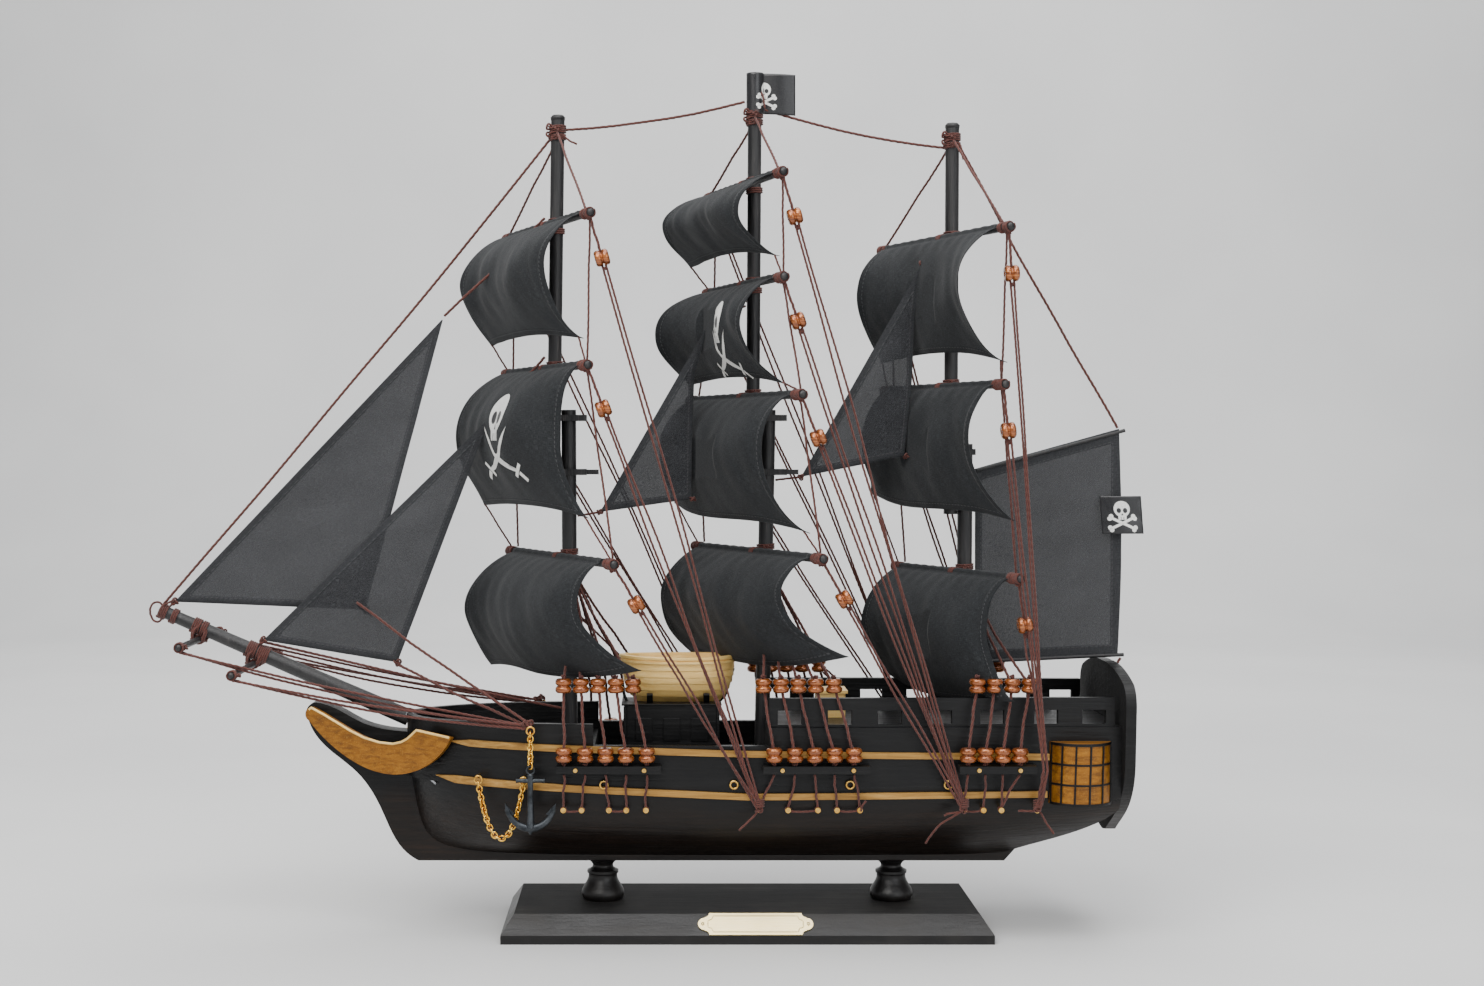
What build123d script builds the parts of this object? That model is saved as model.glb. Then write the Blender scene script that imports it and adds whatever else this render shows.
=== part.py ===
from build123d import *

import os
from math import cos, radians, sin

os.makedirs("parts", exist_ok=True)

# A decorative wooden sailing ship on a stand, in millimetres.
# The origin is the middle of the stand's underside, the bow points along -X, port is -Y, up is +Z.

# --- stand ---
STAND_BOTTOM = (237, 84)
STAND_TOP = (225, 68)
STAND_EDGE = 4.3
STAND_HEIGHT = 13
POST_X = (-70.5, 73.5)
KEEL_Z = 33
SCREW_R = 1.5
SCREW_HEAD_R = 3.5
SCREW_TOP = 46

# --- hull ---
HALF_BEAM = 46
BOW_X = -168
STERN_X = 179
SIDE_Z = 76
FORE_DECK, WAIST_DECK, QUARTER_DECK = 92, 84, 104.4
FORE_RAIL, WAIST_RAIL, QUARTER_RAIL = 106, 95.8, 118.3
FORE_END, QUARTER_START = -74, 10
WALL = 4
KEEL_HALF = 6
WALE_PROUD = 1.6
SLOT = (11.5, 6.7)
SLOT_X = (20, 44, 68, 92, 117, 143, 166)
SLOT_Z = 109.2

# --- rig ---
LOWER_R, TOP_R, YARD_R, CORD_R = 3.7, 3.4, 1.9, 0.7
GAP = 0.3
DOUBLING = 35
SAIL_THICK = 1.2

# Each mast: foot and head of the lower mast, heel and head of the topmast, as (x, z).
MASTS = {
    "fore": ((-86.8, FORE_DECK + 0.4), (-87.6, 257), (-95.3, 222), (-93, 403)),
    "main": ((8.8, WAIST_DECK + 0.4), (12.2, 257), (4.3, 222), (5.5, 424.5)),
    "mizzen": ((109.8, QUARTER_DECK + 0.4), (110.6, 240), (103.2, 205), (104.2, 399)),
}

# Each square sail: mast, yard height, yard half length, brace angle, half head, half foot, drop, belly.
SQUARE_SAILS = {
    "fore_topgallant": ("fore", 348.5, 65, 22, 55, 58, 57, 22),
    "fore_topsail": ("fore", 277, 64, 22, 58, 64, 69, 24),
    "fore_course": ("fore", 183.5, 72, 24, 60, 68, 54, 22),
    "main_royal": ("main", 369, 54, 18, 48, 50, 38, 20),
    "main_topgallant": ("main", 319, 56, 18, 50, 56, 50, 16),
    "main_topsail": ("main", 263, 68, 22, 60, 66, 60, 19),
    "main_course": ("main", 186, 71, 24, 62, 68, 49, 20),
    "mizzen_topgallant": ("mizzen", 342, 64, 22, 56, 62, 62, 9),
    "mizzen_topsail": ("mizzen", 268, 60, 22, 54, 60, 62, 12),
    "mizzen_course": ("mizzen", 176, 58, 24, 52, 54, 47, 20),
}

# Fore-and-aft sails: the side it sits to, then its corners as (x, z).
STAY_SAILS = {
    "outer_jib": (1.6, ((-285, 161), (-150.5, 303), (-189.5, 157))),
    "inner_jib": (-1.8, ((-240, 142), (-127, 253), (-173, 131))),
    "main_staysail": (0, ((-72, 206), (-16, 303), (-24, 275), (-25, 249), (-25.5, 212.5))),
    "mizzen_staysail": (0, ((28.5, 223.5), (89, 330), (86, 302), (84.5, 268), (81, 234))),
    "spanker": (0, ((115.5, 133), (115.5, 225), (187.5, 245), (186.8, 136.5))),
}

BEAD_R, BEAD_H = 4, 6.8
LOWER_BEAD_Y, LOWER_BEAD_Z = 52.6, 92.4
UPPER_BEAD_Y, UPPER_BEAD_Z = 45.6, 124.5
# For each mast, where its lower and its upper beads are along the hull.
BEADS = {
    "fore": ((-87.5, -77.5, -67.8, -58.1, -48.2), (-88, -79.7, -71.4, -63.1, -54.8)),
    "main": ((12.2, 22, 31.4, 40.8, 50), (7.4, 15.7, 24, 32.3, 41)),
    "mizzen": ((104, 112.2, 120.4, 128.6), (109.5, 117.8, 126.1, 134.4)),
}
CHANNELS = ((-91, -41.5), (7, 57.6), (100, 136.5))
CHANNEL_Z, CHANNEL_THICK, CHANNEL_Y = 83.6, 3.6, 54
NAIL_Z = 65.5
NAIL_X = (-88, -79.3, -66.3, -58, -48.7, 5.6, 19, 33.2, 42.3, 53.2, 102.8, 112, 120.5, 137.5)
EYES = ((-68.7, 77.5), (-6.7, 77.5), (48.6, 77.5), (95.4, 77.5))
BRACE_NAIL = {"fore": 5.6, "main": 102.8, "mizzen": 137.5}
BRACE_Y = 49.9
MIZZEN_LEAD = (140, 56.2, 86)

ANCHOR_X, ANCHOR_Y = -103.5, 50.5
CHAIN_TOP, ANCHOR_TOP, ANCHOR_CROWN = 101, 87, 56
SWAG_ENDS = ((-129, -42.4, 76.4), (-107, -47, 76.4))
SWAG_DEPTH = 25
SWAG_R = 1.1


def save(part, name):
    """Label a finished piece and write it."""
    part.label = name
    export_step(part, f"parts/{name}.step")


def rod(start, end, radius, end_radius=None):
    """A round rod, or a tapered one, between two points."""
    along = Vector(end) - Vector(start)
    with BuildSketch(Plane(origin=start, z_dir=along)) as near:
        Circle(radius)
    if end_radius is None:
        return extrude(near.sketch, amount=along.length, mode=Mode.PRIVATE)
    with BuildSketch(Plane(origin=end, z_dir=along)) as far:
        Circle(end_radius)
    return loft([near.sketch.face(), far.sketch.face()], mode=Mode.PRIVATE)


def taut(start, end, start_gap=GAP, end_gap=GAP, radius=CORD_R):
    """A taut cord that stops a little short of what it is tied to at each end."""
    a, b = Vector(start), Vector(end)
    way = (b - a).normalized()
    return rod(a + way * start_gap, b - way * end_gap, radius)


def bead_at(shape, point, toward):
    """A copy of a bead at a point, its hole pointing along a direction."""
    return shape.moved(Plane(origin=point, z_dir=toward).location)


def mast_x(mast, z):
    """Where a mast's middle is at a height: the topmast above its heel, the lower mast below."""
    foot, head, heel, top = MASTS[mast]
    (x0, z0), (x1, z1) = (heel, top) if z > heel[1] + DOUBLING / 2 else (foot, head)
    return x0 + (x1 - x0) * (z - z0) / (z1 - z0)


def yard_frame(name):
    """The plane of a yard: its middle, x forward, y up, z along the yard to starboard."""
    mast, z, _, angle = SQUARE_SAILS[name][:4]
    turn = radians(angle)
    forward = Vector(-cos(turn), -sin(turn), 0)
    radius = TOP_R if z > MASTS[mast][2][1] + DOUBLING / 2 else LOWER_R
    middle = Vector(mast_x(mast, z), 0, z) + forward * (radius + YARD_R + GAP)
    return Plane(origin=middle, x_dir=forward, z_dir=(-sin(turn), cos(turn), 0))


def yard_end(name, side, inset=0):
    """A point on a yard's middle line, inset from its port (-1) or starboard (1) end."""
    half = SQUARE_SAILS[name][2]
    frame = yard_frame(name)
    return frame.origin + frame.z_dir * side * (half - inset)


def waterline(z, bow, entry, half, stern, stern_half, fullness):
    """The hull's outline at one height: a rounded bow, a straight middle and a drawn-in stern."""
    bow_side = [
        (bow + entry * t, half * (1 - (1 - t) ** fullness) ** (1 / fullness))
        for t in (0, 0.015, 0.06, 0.16, 0.35, 0.65, 1)
    ]
    run = [(stern - (stern - bow - entry) * 0.55, half), (stern, stern_half)]
    with BuildSketch(Plane.XY.offset(z)) as outline:
        with BuildLine():
            side = Spline(bow_side + run)
            Line(side @ 1, (stern, 0))
            mirror(about=Plane.XZ)
        make_face()
    return outline.sketch


def deck_outline(z, grow=0):
    """The outline of the hull's upright sides at a height, a little larger or smaller by grow."""
    return waterline(z, BOW_X - grow, 110 + grow, HALF_BEAM + grow, STERN_X, 43 + grow, 2.2)


SECTIONS = (
    (36, -146, 115, 7.5, 128, 5, 1.7),
    (43, -158, 118, 25, 144, 12, 1.8),
    (52, -162, 116, 37.5, 164, 24, 1.9),
    (64, -164, 112, 44.3, STERN_X, 37, 2.1),
    (SIDE_Z, BOW_X + 2, 110, HALF_BEAM, STERN_X, 43, 2.2),
)

# ---------------------------------------------------------------- stand

with BuildPart() as stand_base:
    with BuildSketch():
        Rectangle(*STAND_BOTTOM)
    extrude(amount=STAND_EDGE)
    with BuildSketch(Plane.XY.offset(STAND_EDGE)) as stand_foot:
        Rectangle(*STAND_BOTTOM)
    with BuildSketch(Plane.XY.offset(STAND_HEIGHT)) as stand_table:
        Rectangle(*STAND_TOP)
    loft([stand_foot.sketch.face(), stand_table.sketch.face()])
    with Locations(*[(x, 0, 0) for x in POST_X]):
        Cylinder(SCREW_HEAD_R + 0.4, 4, align=(Align.CENTER, Align.CENTER, Align.MIN), mode=Mode.SUBTRACT)
        Cylinder(SCREW_R + 0.1, 40, mode=Mode.SUBTRACT)
save(stand_base.part, "stand_base")

with BuildPart() as stand_post:
    with BuildSketch(Plane.XZ):
        with BuildLine():
            flank = Spline((9.4, 13), (10.7, 16.4), (7.15, 24.4), (7.2, 25.6))
            ring = Line(flank @ 1, (7.8, 26.2))
            ring_side = Line(ring @ 1, (7.8, 27.4))
            neck = Spline(ring_side @ 1, (5.1, 29.4), (8, KEEL_Z))
            Line(neck @ 1, (SCREW_R + 0.1, KEEL_Z))
            Line((SCREW_R + 0.1, KEEL_Z), (SCREW_R + 0.1, 13))
            Line((SCREW_R + 0.1, 13), flank @ 0)
        make_face()
    revolve(axis=Axis.Z)

with BuildPart() as stand_posts:
    add([stand_post.part.moved(Location((x, 0, 0))) for x in POST_X])
save(stand_posts.part, "stand_posts")

with BuildPart() as stand_screws:
    for x in POST_X:
        add(rod((x, 0, 1.2), (x, 0, 3.6), SCREW_HEAD_R))
        add(rod((x, 0, 3.6), (x, 0, SCREW_TOP), SCREW_R))
save(stand_screws.part, "stand_screws")

bevel_run = (STAND_BOTTOM[1] - STAND_TOP[1]) / 2
bevel_rise = STAND_HEIGHT - STAND_EDGE
plate_plane = Plane(
    origin=(4, -STAND_TOP[1] / 2 - bevel_run / 2, STAND_EDGE + bevel_rise / 2),
    x_dir=(1, 0, 0),
    z_dir=(0, -bevel_rise, bevel_run),
)
PLATE = (49, 11.6)
with BuildPart() as name_plate:
    with BuildSketch(plate_plane.offset(0.05)):
        Rectangle(*PLATE)
        with Locations((-PLATE[0] / 2, 0), (PLATE[0] / 2, 0)):
            Circle(3.2)
        with Locations(*[(sx * PLATE[0] / 2, sy * PLATE[1] / 2) for sx in (-1, 1) for sy in (-1, 1)]):
            Circle(2.2, mode=Mode.SUBTRACT)
    extrude(amount=0.8)
save(name_plate.part, "name_plate")

# ---------------------------------------------------------------- hull

with BuildPart() as hull_block:
    loft([waterline(*section).face() for section in SECTIONS])
    extrude(deck_outline(SIDE_Z), amount=QUARTER_DECK - SIDE_Z)
    with BuildSketch(Plane.XZ.offset(-60)) as above_decks:
        with BuildLine():
            Polyline(
                (BOW_X - 5, FORE_DECK), (FORE_END, FORE_DECK), (FORE_END, WAIST_DECK),
                (QUARTER_START, WAIST_DECK), (QUARTER_START, QUARTER_DECK + 1),
                (BOW_X - 5, QUARTER_DECK + 1), close=True,
            )
        make_face()
    extrude(above_decks.sketch, amount=120, mode=Mode.SUBTRACT)
    with Locations((mast_x("main", WAIST_DECK), 0, WAIST_DECK)):
        Cylinder(LOWER_R + 0.6, 40, align=(Align.CENTER, Align.CENTER, Align.MIN), mode=Mode.SUBTRACT)
    with Locations(*[(x, 0, 30) for x in POST_X]):
        Cylinder(
            SCREW_R + 0.1, SCREW_TOP - 29, align=(Align.CENTER, Align.CENTER, Align.MIN), mode=Mode.SUBTRACT
        )
    with Locations((STERN_X, 0, 60)):
        Box(20, 120, 120, align=(Align.MIN, Align.CENTER, Align.CENTER), mode=Mode.SUBTRACT)
save(hull_block.part, "hull_block")


def wall_ring(bottom, top, inset=0):
    """The hull's side wall between two heights, all the way round."""
    with BuildSketch(Plane.XY.offset(bottom)) as ring:
        add(deck_outline(bottom, -inset).face())
        add(deck_outline(bottom, -inset - WALL).face(), mode=Mode.SUBTRACT)
    return extrude(ring.sketch, amount=top - bottom, mode=Mode.PRIVATE)


def along_hull(start, end):
    """A block that takes in the whole hull between two stations."""
    return Box(end - start, 140, 140, mode=Mode.PRIVATE).moved(Location(((start + end) / 2, 0, 90)))


with BuildPart() as fore_bulwark:
    add(wall_ring(FORE_DECK, FORE_RAIL))
    add(along_hull(BOW_X - 10, FORE_END), mode=Mode.INTERSECT)
save(fore_bulwark.part, "fore_bulwark")

with BuildPart() as stem_and_keel:
    with BuildSketch(Plane.XZ.offset(-KEEL_HALF)) as stem_outline:
        with BuildLine():
            cutwater = Spline(
                (-217, 104), (-209.8, 91.5), (-192.6, 76.9), (-180.5, 58.8), (-171.5, 41), (-162, KEEL_Z)
            )
            Line(cutwater @ 1, (129, KEEL_Z))
            Polyline((129, KEEL_Z), (134, 38.5), (122, 52), (-140, 52), (-155, 97))
            sweep_top = Spline((-155, 97), (-172, 97.4), (-190, 101.5), (-203, 108.5), (-213, 111.5))
            ThreePointArc(sweep_top @ 1, (-216.8, 109.5), cutwater @ 0)
        make_face()
    extrude(stem_outline.sketch, amount=2 * KEEL_HALF)
    add(hull_block.part, mode=Mode.SUBTRACT)
    add(fore_bulwark.part, mode=Mode.SUBTRACT)
    with Locations(*[(x, 0, 30) for x in POST_X]):
        Cylinder(SCREW_R + 0.1, 20, align=(Align.CENTER, Align.CENTER, Align.MIN), mode=Mode.SUBTRACT)
save(stem_and_keel.part, "stem_and_keel")


with BuildPart() as waist_bulwarks:
    add(wall_ring(WAIST_DECK, WAIST_RAIL))
    add(along_hull(FORE_END, QUARTER_START), mode=Mode.INTERSECT)
save(waist_bulwarks.part, "waist_bulwarks")

with BuildPart() as quarter_rails:
    add(wall_ring(QUARTER_DECK, QUARTER_RAIL, inset=1.2))
    add(along_hull(QUARTER_START, STERN_X - 3), mode=Mode.INTERSECT)
    with Locations(*[(x, 0, SLOT_Z) for x in SLOT_X]):
        Box(SLOT[0], 130, SLOT[1], mode=Mode.SUBTRACT)
save(quarter_rails.part, "quarter_rails")

with BuildPart() as transom:
    with BuildSketch(Plane.YZ.offset(STERN_X)):
        with BuildLine():
            crown = ThreePointArc((0, 132), (26, 130.4), (44, 126))
            shoulder = ThreePointArc(crown @ 1, (50.6, 121.5), (52.5, 114))
            flare = Line(shoulder @ 1, (50.5, 92))
            taper = Spline(flare @ 1, (43, 72), (22, 57), (7, 49))
            Line(taper @ 1, (0, 48))
            mirror(about=Plane.YZ)
        make_face()
    extrude(amount=5)
save(transom.part, "transom")

with BuildPart() as quarter_galleries:
    for side in (-1, 1):
        with BuildSketch(Plane.XY.offset(68)) as bay:
            with BuildLine():
                belly = ThreePointArc((144, side * 42), (159, side * 54), (174, side * 42))
                Line(belly @ 1, belly @ 0)
            make_face()
        extrude(bay.sketch, amount=29.7)
    add(hull_block.part, mode=Mode.SUBTRACT)
    add(quarter_rails.part, mode=Mode.SUBTRACT)
save(quarter_galleries.part, "quarter_galleries")

HEAD_YAW = radians(20.5)
HEAD_START = (-216, -6.3)
head_plane = Plane(
    origin=(*HEAD_START, 0),
    x_dir=(cos(HEAD_YAW), -sin(HEAD_YAW), 0),
    z_dir=(-sin(HEAD_YAW), -cos(HEAD_YAW), 0),
)


def on_head(x, z):
    """A point of the head board's outline, from where it is along the ship."""
    return ((x - HEAD_START[0]) / cos(HEAD_YAW), z)


HORN = ((-213.5, 109.6), (-201, 103.5), (-186, 96.3), (-171, 94), (-163.5, 97))
CHIN = ((-147, 90), (-157.8, 82), (-172, 79), (-188.5, 82.9), (-214.5, 103))
with BuildPart() as head_boards:
    with BuildSketch(head_plane):
        with BuildLine():
            horn = Spline(*[on_head(*p) for p in HORN])
            step = Line(horn @ 1, on_head(-159, 101.3))
            ledge = Line(step @ 1, on_head(-141.5, 98.3))
            chin = Spline(ledge @ 1, *[on_head(*p) for p in CHIN])
            ThreePointArc(chin @ 1, on_head(-216.2, 107.5), horn @ 0)
        make_face()
    extrude(amount=3.4)
    for solid in (hull_block, fore_bulwark, stem_and_keel):
        add(solid.part, mode=Mode.SUBTRACT)
    mirror(about=Plane.XZ)
save(head_boards.part, "head_boards")


def hull_skin(bottom, top):
    """A thin shell just outside the hull's side, as deep as a wale is proud."""
    with BuildSketch(Plane.XY.offset(bottom)) as skin:
        add(deck_outline(bottom, WALE_PROUD).face())
        add(deck_outline(bottom, -3).face(), mode=Mode.SUBTRACT)
    return extrude(skin.sketch, amount=top - bottom, mode=Mode.PRIVATE)


WALE_LINES = (
    ((-144, 96.2), (-134, 97.4), (0, 93.6), (144, 91.8), (144, 88.8), (0, 90.6), (-134, 94.2)),
    ((-151, 79.2), (-141, 79.8), (0, 73.2), (143, 74), (143, 71), (0, 70.2), (-141, 76.2)),
)
with BuildPart() as wales:
    add(hull_skin(66, 100))
    with BuildSketch(Plane.XZ.offset(-60)) as wale_bands:
        for line in WALE_LINES:
            with BuildLine():
                Polyline(*line, close=True)
            make_face()
    extrude(wale_bands.sketch, amount=120, mode=Mode.INTERSECT)
    for solid in (hull_block, fore_bulwark, waist_bulwarks, head_boards):
        add(solid.part, mode=Mode.SUBTRACT)
save(wales.part, "wales")

with BuildPart() as channels:
    for start, end in CHANNELS:
        for side in (-1, 1):
            with Locations(((start + end) / 2, side * (CHANNEL_Y - 5.5), CHANNEL_Z)):
                Box(end - start, 11, CHANNEL_THICK, align=(Align.CENTER, Align.CENTER, Align.MIN))
    for solid in (hull_block, waist_bulwarks):
        add(solid.part, mode=Mode.SUBTRACT)
save(channels.part, "channels")

with BuildPart() as brass_nails:
    shanks = [rod((x, side * 36, NAIL_Z), (x, side * 47.2, NAIL_Z), 0.6) for x in NAIL_X for side in (-1, 1)]
    heads = [rod((x, side * 47.2, NAIL_Z), (x, side * 48.6, NAIL_Z), 1.3) for x in NAIL_X for side in (-1, 1)]
    pin_z = CHANNEL_Z + CHANNEL_THICK / 2
    pins = [
        rod((x, side * CHANNEL_Y, pin_z), (x, side * (CHANNEL_Y + 1), pin_z), 1)
        for start, end in CHANNELS
        for x in (start + 9, end - 8)
        for side in (-1, 1)
    ]
    add(shanks + heads + pins)
    add(hull_block.part, mode=Mode.SUBTRACT)
save(brass_nails.part, "brass_nails")


def eye_screw(x, y, z, root):
    """An eye screw that stands out of the hull at root, its ring facing the beam."""
    side = 1 if y > 0 else -1
    ring = Torus(1.8, 0.5, mode=Mode.PRIVATE).moved(Plane(origin=(x, y, z), z_dir=(0, 1, 0)).location)
    return [ring, rod((x, side * root, z + 1.8), (x, y, z + 1.8), 0.45)]


with BuildPart() as eye_screws:
    for side in (-1, 1):
        for x, z in EYES:
            add(eye_screw(x, side * 47.6, z, 40))
        add(eye_screw(ANCHOR_X, side * ANCHOR_Y, CHAIN_TOP + 2.6, 41.5))
        for x, y, z in SWAG_ENDS:
            add(eye_screw(x, -side * y, z + 2.7, abs(y) - 8))
    for solid in (hull_block, fore_bulwark, wales):
        add(solid.part, mode=Mode.SUBTRACT)
save(eye_screws.part, "eye_screws")

# ---------------------------------------------------------------- deck gear

HOUSE = ((-59.5, -13), 13, 111)
with BuildPart() as deckhouse:
    with Locations(((HOUSE[0][0] + HOUSE[0][1]) / 2, 0, WAIST_DECK)):
        Box(
            HOUSE[0][1] - HOUSE[0][0], 2 * HOUSE[1], HOUSE[2] - WAIST_DECK,
            align=(Align.CENTER, Align.CENTER, Align.MIN),
        )
    fillet(deckhouse.edges().filter_by(Axis.Z), radius=1.5)
save(deckhouse.part, "deckhouse")

BOAT_X, BOAT_HALF = -33, 28.5
BOAT_LEVELS = ((HOUSE[2], 20, 3), (116, 24.5, 9.5), (123, 27.3, 12.6), (134, BOAT_HALF, 13.5))


def boat_line(z, half_length, half_width):
    """The plan of the boat at one height, pointed at its stem and rounder at its stern."""
    with BuildSketch(Plane.XY.offset(z)) as plan:
        with BuildLine():
            side = Spline(
                (BOAT_X - half_length, 0), (BOAT_X - half_length * 0.55, half_width * 0.82),
                (BOAT_X, half_width), (BOAT_X + half_length * 0.7, half_width * 0.8),
                (BOAT_X + half_length, 0), tangents=((0.6, 1), (0, -1)),
            )
            mirror(about=Plane.XZ)
        make_face()
    return plan.sketch


with BuildPart() as lifeboat:
    loft([boat_line(*level).face() for level in BOAT_LEVELS])
    extrude(boat_line(128, BOAT_HALF - 3.5, 11), amount=8, mode=Mode.SUBTRACT)
    for x in (-47, -33, -19):
        with Locations((x, 0, 130.6)):
            Box(4, 22.2, 1.6)
save(lifeboat.part, "lifeboat")

with BuildPart() as quarterdeck_hatch:
    with Locations((43, 0, QUARTER_DECK)):
        Box(14, 18, 12, align=(Align.CENTER, Align.CENTER, Align.MIN))
    fillet(quarterdeck_hatch.edges().filter_by(Axis.Z), radius=1)
    with Locations((43, 0, QUARTER_DECK + 12)):
        Box(16, 20, 1.4, align=(Align.CENTER, Align.CENTER, Align.MIN))
save(quarterdeck_hatch.part, "quarterdeck_hatch")

# ---------------------------------------------------------------- spars

spars = {}
for mast, (foot, head, heel, top) in MASTS.items():
    with BuildPart() as lower:
        add(rod((foot[0], 0, foot[1]), (head[0], 0, head[1]), LOWER_R))
    with BuildPart() as upper:
        add(rod((heel[0], 0, heel[1]), (top[0], 0, top[1]), TOP_R))
    spars[mast] = (lower.part, upper.part)
    save(lower.part, f"{mast}_lower_mast")
    save(upper.part, f"{mast}_topmast")

with BuildPart() as mast_caps:
    for mast, (foot, head, heel, top) in MASTS.items():
        aft = 4.5 if mast == "mizzen" else 9
        for z in (head[1] - 4, heel[1] + 4):
            with Locations((heel[0] - 4.6, 0, z)):
                Box(head[0] - heel[0] + 4.6 + aft, 10, 3, align=(Align.MIN, Align.CENTER, Align.CENTER))
        if mast != "mizzen":
            with Locations((head[0] + aft, 0, heel[1] + 4)):
                Box(6, 2.4, 2.4, align=(Align.MIN, Align.CENTER, Align.CENTER))
    for lower, upper in spars.values():
        add([lower, upper], mode=Mode.SUBTRACT)
save(mast_caps.part, "mast_caps")

SPRIT_TIP, SPRIT_HEEL = (-292, 157), (-167.5, 103.2)
SPRIT_R = (3, 4.2)
with BuildPart() as bowsprit:
    add(rod((SPRIT_TIP[0], 0, SPRIT_TIP[1]), (SPRIT_HEEL[0], 0, SPRIT_HEEL[1]), *SPRIT_R))
    for solid in (hull_block, fore_bulwark, stem_and_keel):
        add(solid.part, mode=Mode.SUBTRACT)
save(bowsprit.part, "bowsprit")

SPRIT_YARDS = ((-272, 142.4, 45), (-244.7, 130.2, 55))
with BuildPart() as spritsail_yards:
    for x, z, half in SPRIT_YARDS:
        add(rod((x, -half, z), (x, half, z), 1.6))
save(spritsail_yards.part, "spritsail_yards")

for mast in MASTS:
    with BuildPart() as yards:
        for name, (owner, *_) in SQUARE_SAILS.items():
            if owner == mast:
                add(rod(yard_end(name, -1), yard_end(name, 1), YARD_R))
        if mast == "mizzen":
            corners = STAY_SAILS["spanker"][1]
            for low, high, up in ((corners[0], corners[3], -1.8), (corners[1], corners[2], 1.8)):
                add(rod((low[0] + 1, 0, low[1] + up), (high[0] + 3, 0, high[1] + up), 0.9))
    save(yards.part, f"{mast}_yards")

# ---------------------------------------------------------------- sails

sails = {}
for name, (_, _, _, _, head, foot, drop, belly) in SQUARE_SAILS.items():
    frame = yard_frame(name)
    start = -YARD_R - GAP - SAIL_THICK / 2
    with BuildPart() as sail:
        with BuildSketch(frame.offset(-foot)) as section:
            with BuildLine():
                ThreePointArc((0.5, start), (belly, -drop * 0.55), (belly * 0.8, -drop))
            trace(line_width=SAIL_THICK)
        extrude(section.sketch, amount=2 * foot)
        with BuildSketch(Plane(origin=frame.origin, x_dir=frame.z_dir, z_dir=-frame.x_dir)) as cut:
            Polygon((-head, 1), (head, 1), (foot, -drop - 2), (-foot, -drop - 2), align=None)
        extrude(cut.sketch, amount=belly + 20, both=True, mode=Mode.INTERSECT)
    sails[name] = sail.part
    save(sail.part, f"{name}_sail")

for name, (y, corners) in STAY_SAILS.items():
    with BuildPart() as sail:
        with BuildSketch(Plane.XZ.offset(-y - SAIL_THICK / 2)) as outline:
            with BuildLine():
                Polyline(*corners, close=True)
            make_face()
        extrude(outline.sketch, amount=SAIL_THICK)
    save(sail.part, name)

with BuildPart() as masthead_flag:
    flag_x = MASTS["main"][3][0]
    with Locations((flag_x, 0, 405)):
        Cylinder(TOP_R + 0.8, 20, align=(Align.CENTER, Align.CENTER, Align.MIN))
    with Locations((flag_x + TOP_R, 0, 405)):
        Box(14, 1, 20, align=(Align.MIN, Align.CENTER, Align.MIN))
    add(rod((mast_x("main", 400), 0, 400), (flag_x + 0.1, 0, 430), TOP_R + 0.2), mode=Mode.SUBTRACT)
save(masthead_flag.part, "masthead_flag")

with BuildPart() as stern_flag:
    with BuildSketch(Plane.XZ.offset(1.1)):
        with BuildLine():
            Polyline((177, 213), (197, 215), (199, 196), (179, 194), close=True)
        make_face()
    extrude(amount=0.6)
save(stern_flag.part, "stern_flag")

# ---------------------------------------------------------------- beads and cords

with BuildPart() as bead:
    with BuildSketch(Plane.XZ):
        with BuildLine():
            lobe = ThreePointArc((0.9, BEAD_H / 2), (BEAD_R * 0.94, BEAD_H * 0.38), (BEAD_R - 0.4, 0.35))
            Line(lobe @ 1, (BEAD_R - 0.4, -0.35))
            other = ThreePointArc((BEAD_R - 0.4, -0.35), (BEAD_R * 0.94, -BEAD_H * 0.38), (0.9, -BEAD_H / 2))
            Line(other @ 1, lobe @ 0)
        make_face()
    revolve(axis=Axis.Z)

pairs = [
    ((low, side * LOWER_BEAD_Y, LOWER_BEAD_Z), (high, side * UPPER_BEAD_Y, UPPER_BEAD_Z), mast, side)
    for mast, (lows, highs) in BEADS.items()
    for low, high in zip(lows, highs)
    for side in (-1, 1)
]
with BuildPart() as deadeyes:
    add([bead_at(bead.part, at, (0, 0, 1)) for low, high, _, _ in pairs for at in (low, high)])
save(deadeyes.part, "deadeyes")

with BuildPart() as shrouds:
    cords = []
    for low, high, mast, side in pairs:
        head = MASTS[mast][1]
        cords.append(taut(low, high, BEAD_H / 2 + 0.9, BEAD_H / 2 + 0.9))
        below_yard = SQUARE_SAILS[f"{mast}_course"][1] - 8
        top_end = (mast_x(mast, below_yard) + 0.06 * (high[0] - head[0]), side * (LOWER_R + 1.4), below_yard)
        cords.append(taut(high, top_end, BEAD_H / 2 + 1.4, 0))
        nail = min((x for x in NAIL_X), key=lambda x: abs(x - low[0]))
        cords.append(taut((low[0], side * (CHANNEL_Y - 1.6), CHANNEL_Z), (nail, side * 47.6, NAIL_Z), GAP, 2.2))
    add(cords)
save(shrouds.part, "shrouds")


def brace_route(name, side):
    """The points of one brace: yard end, hanging bead, then down to the nail on the hull."""
    mast = SQUARE_SAILS[name][0]
    end = yard_end(name, side, inset=2)
    down = [Vector(BRACE_NAIL[mast], side * BRACE_Y, NAIL_Z)]
    if mast == "mizzen":
        down.insert(0, Vector(MIZZEN_LEAD[0], side * MIZZEN_LEAD[1], MIZZEN_LEAD[2]))
    hung = end + (down[0] - end).normalized() * 22
    return end, hung, down


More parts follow.
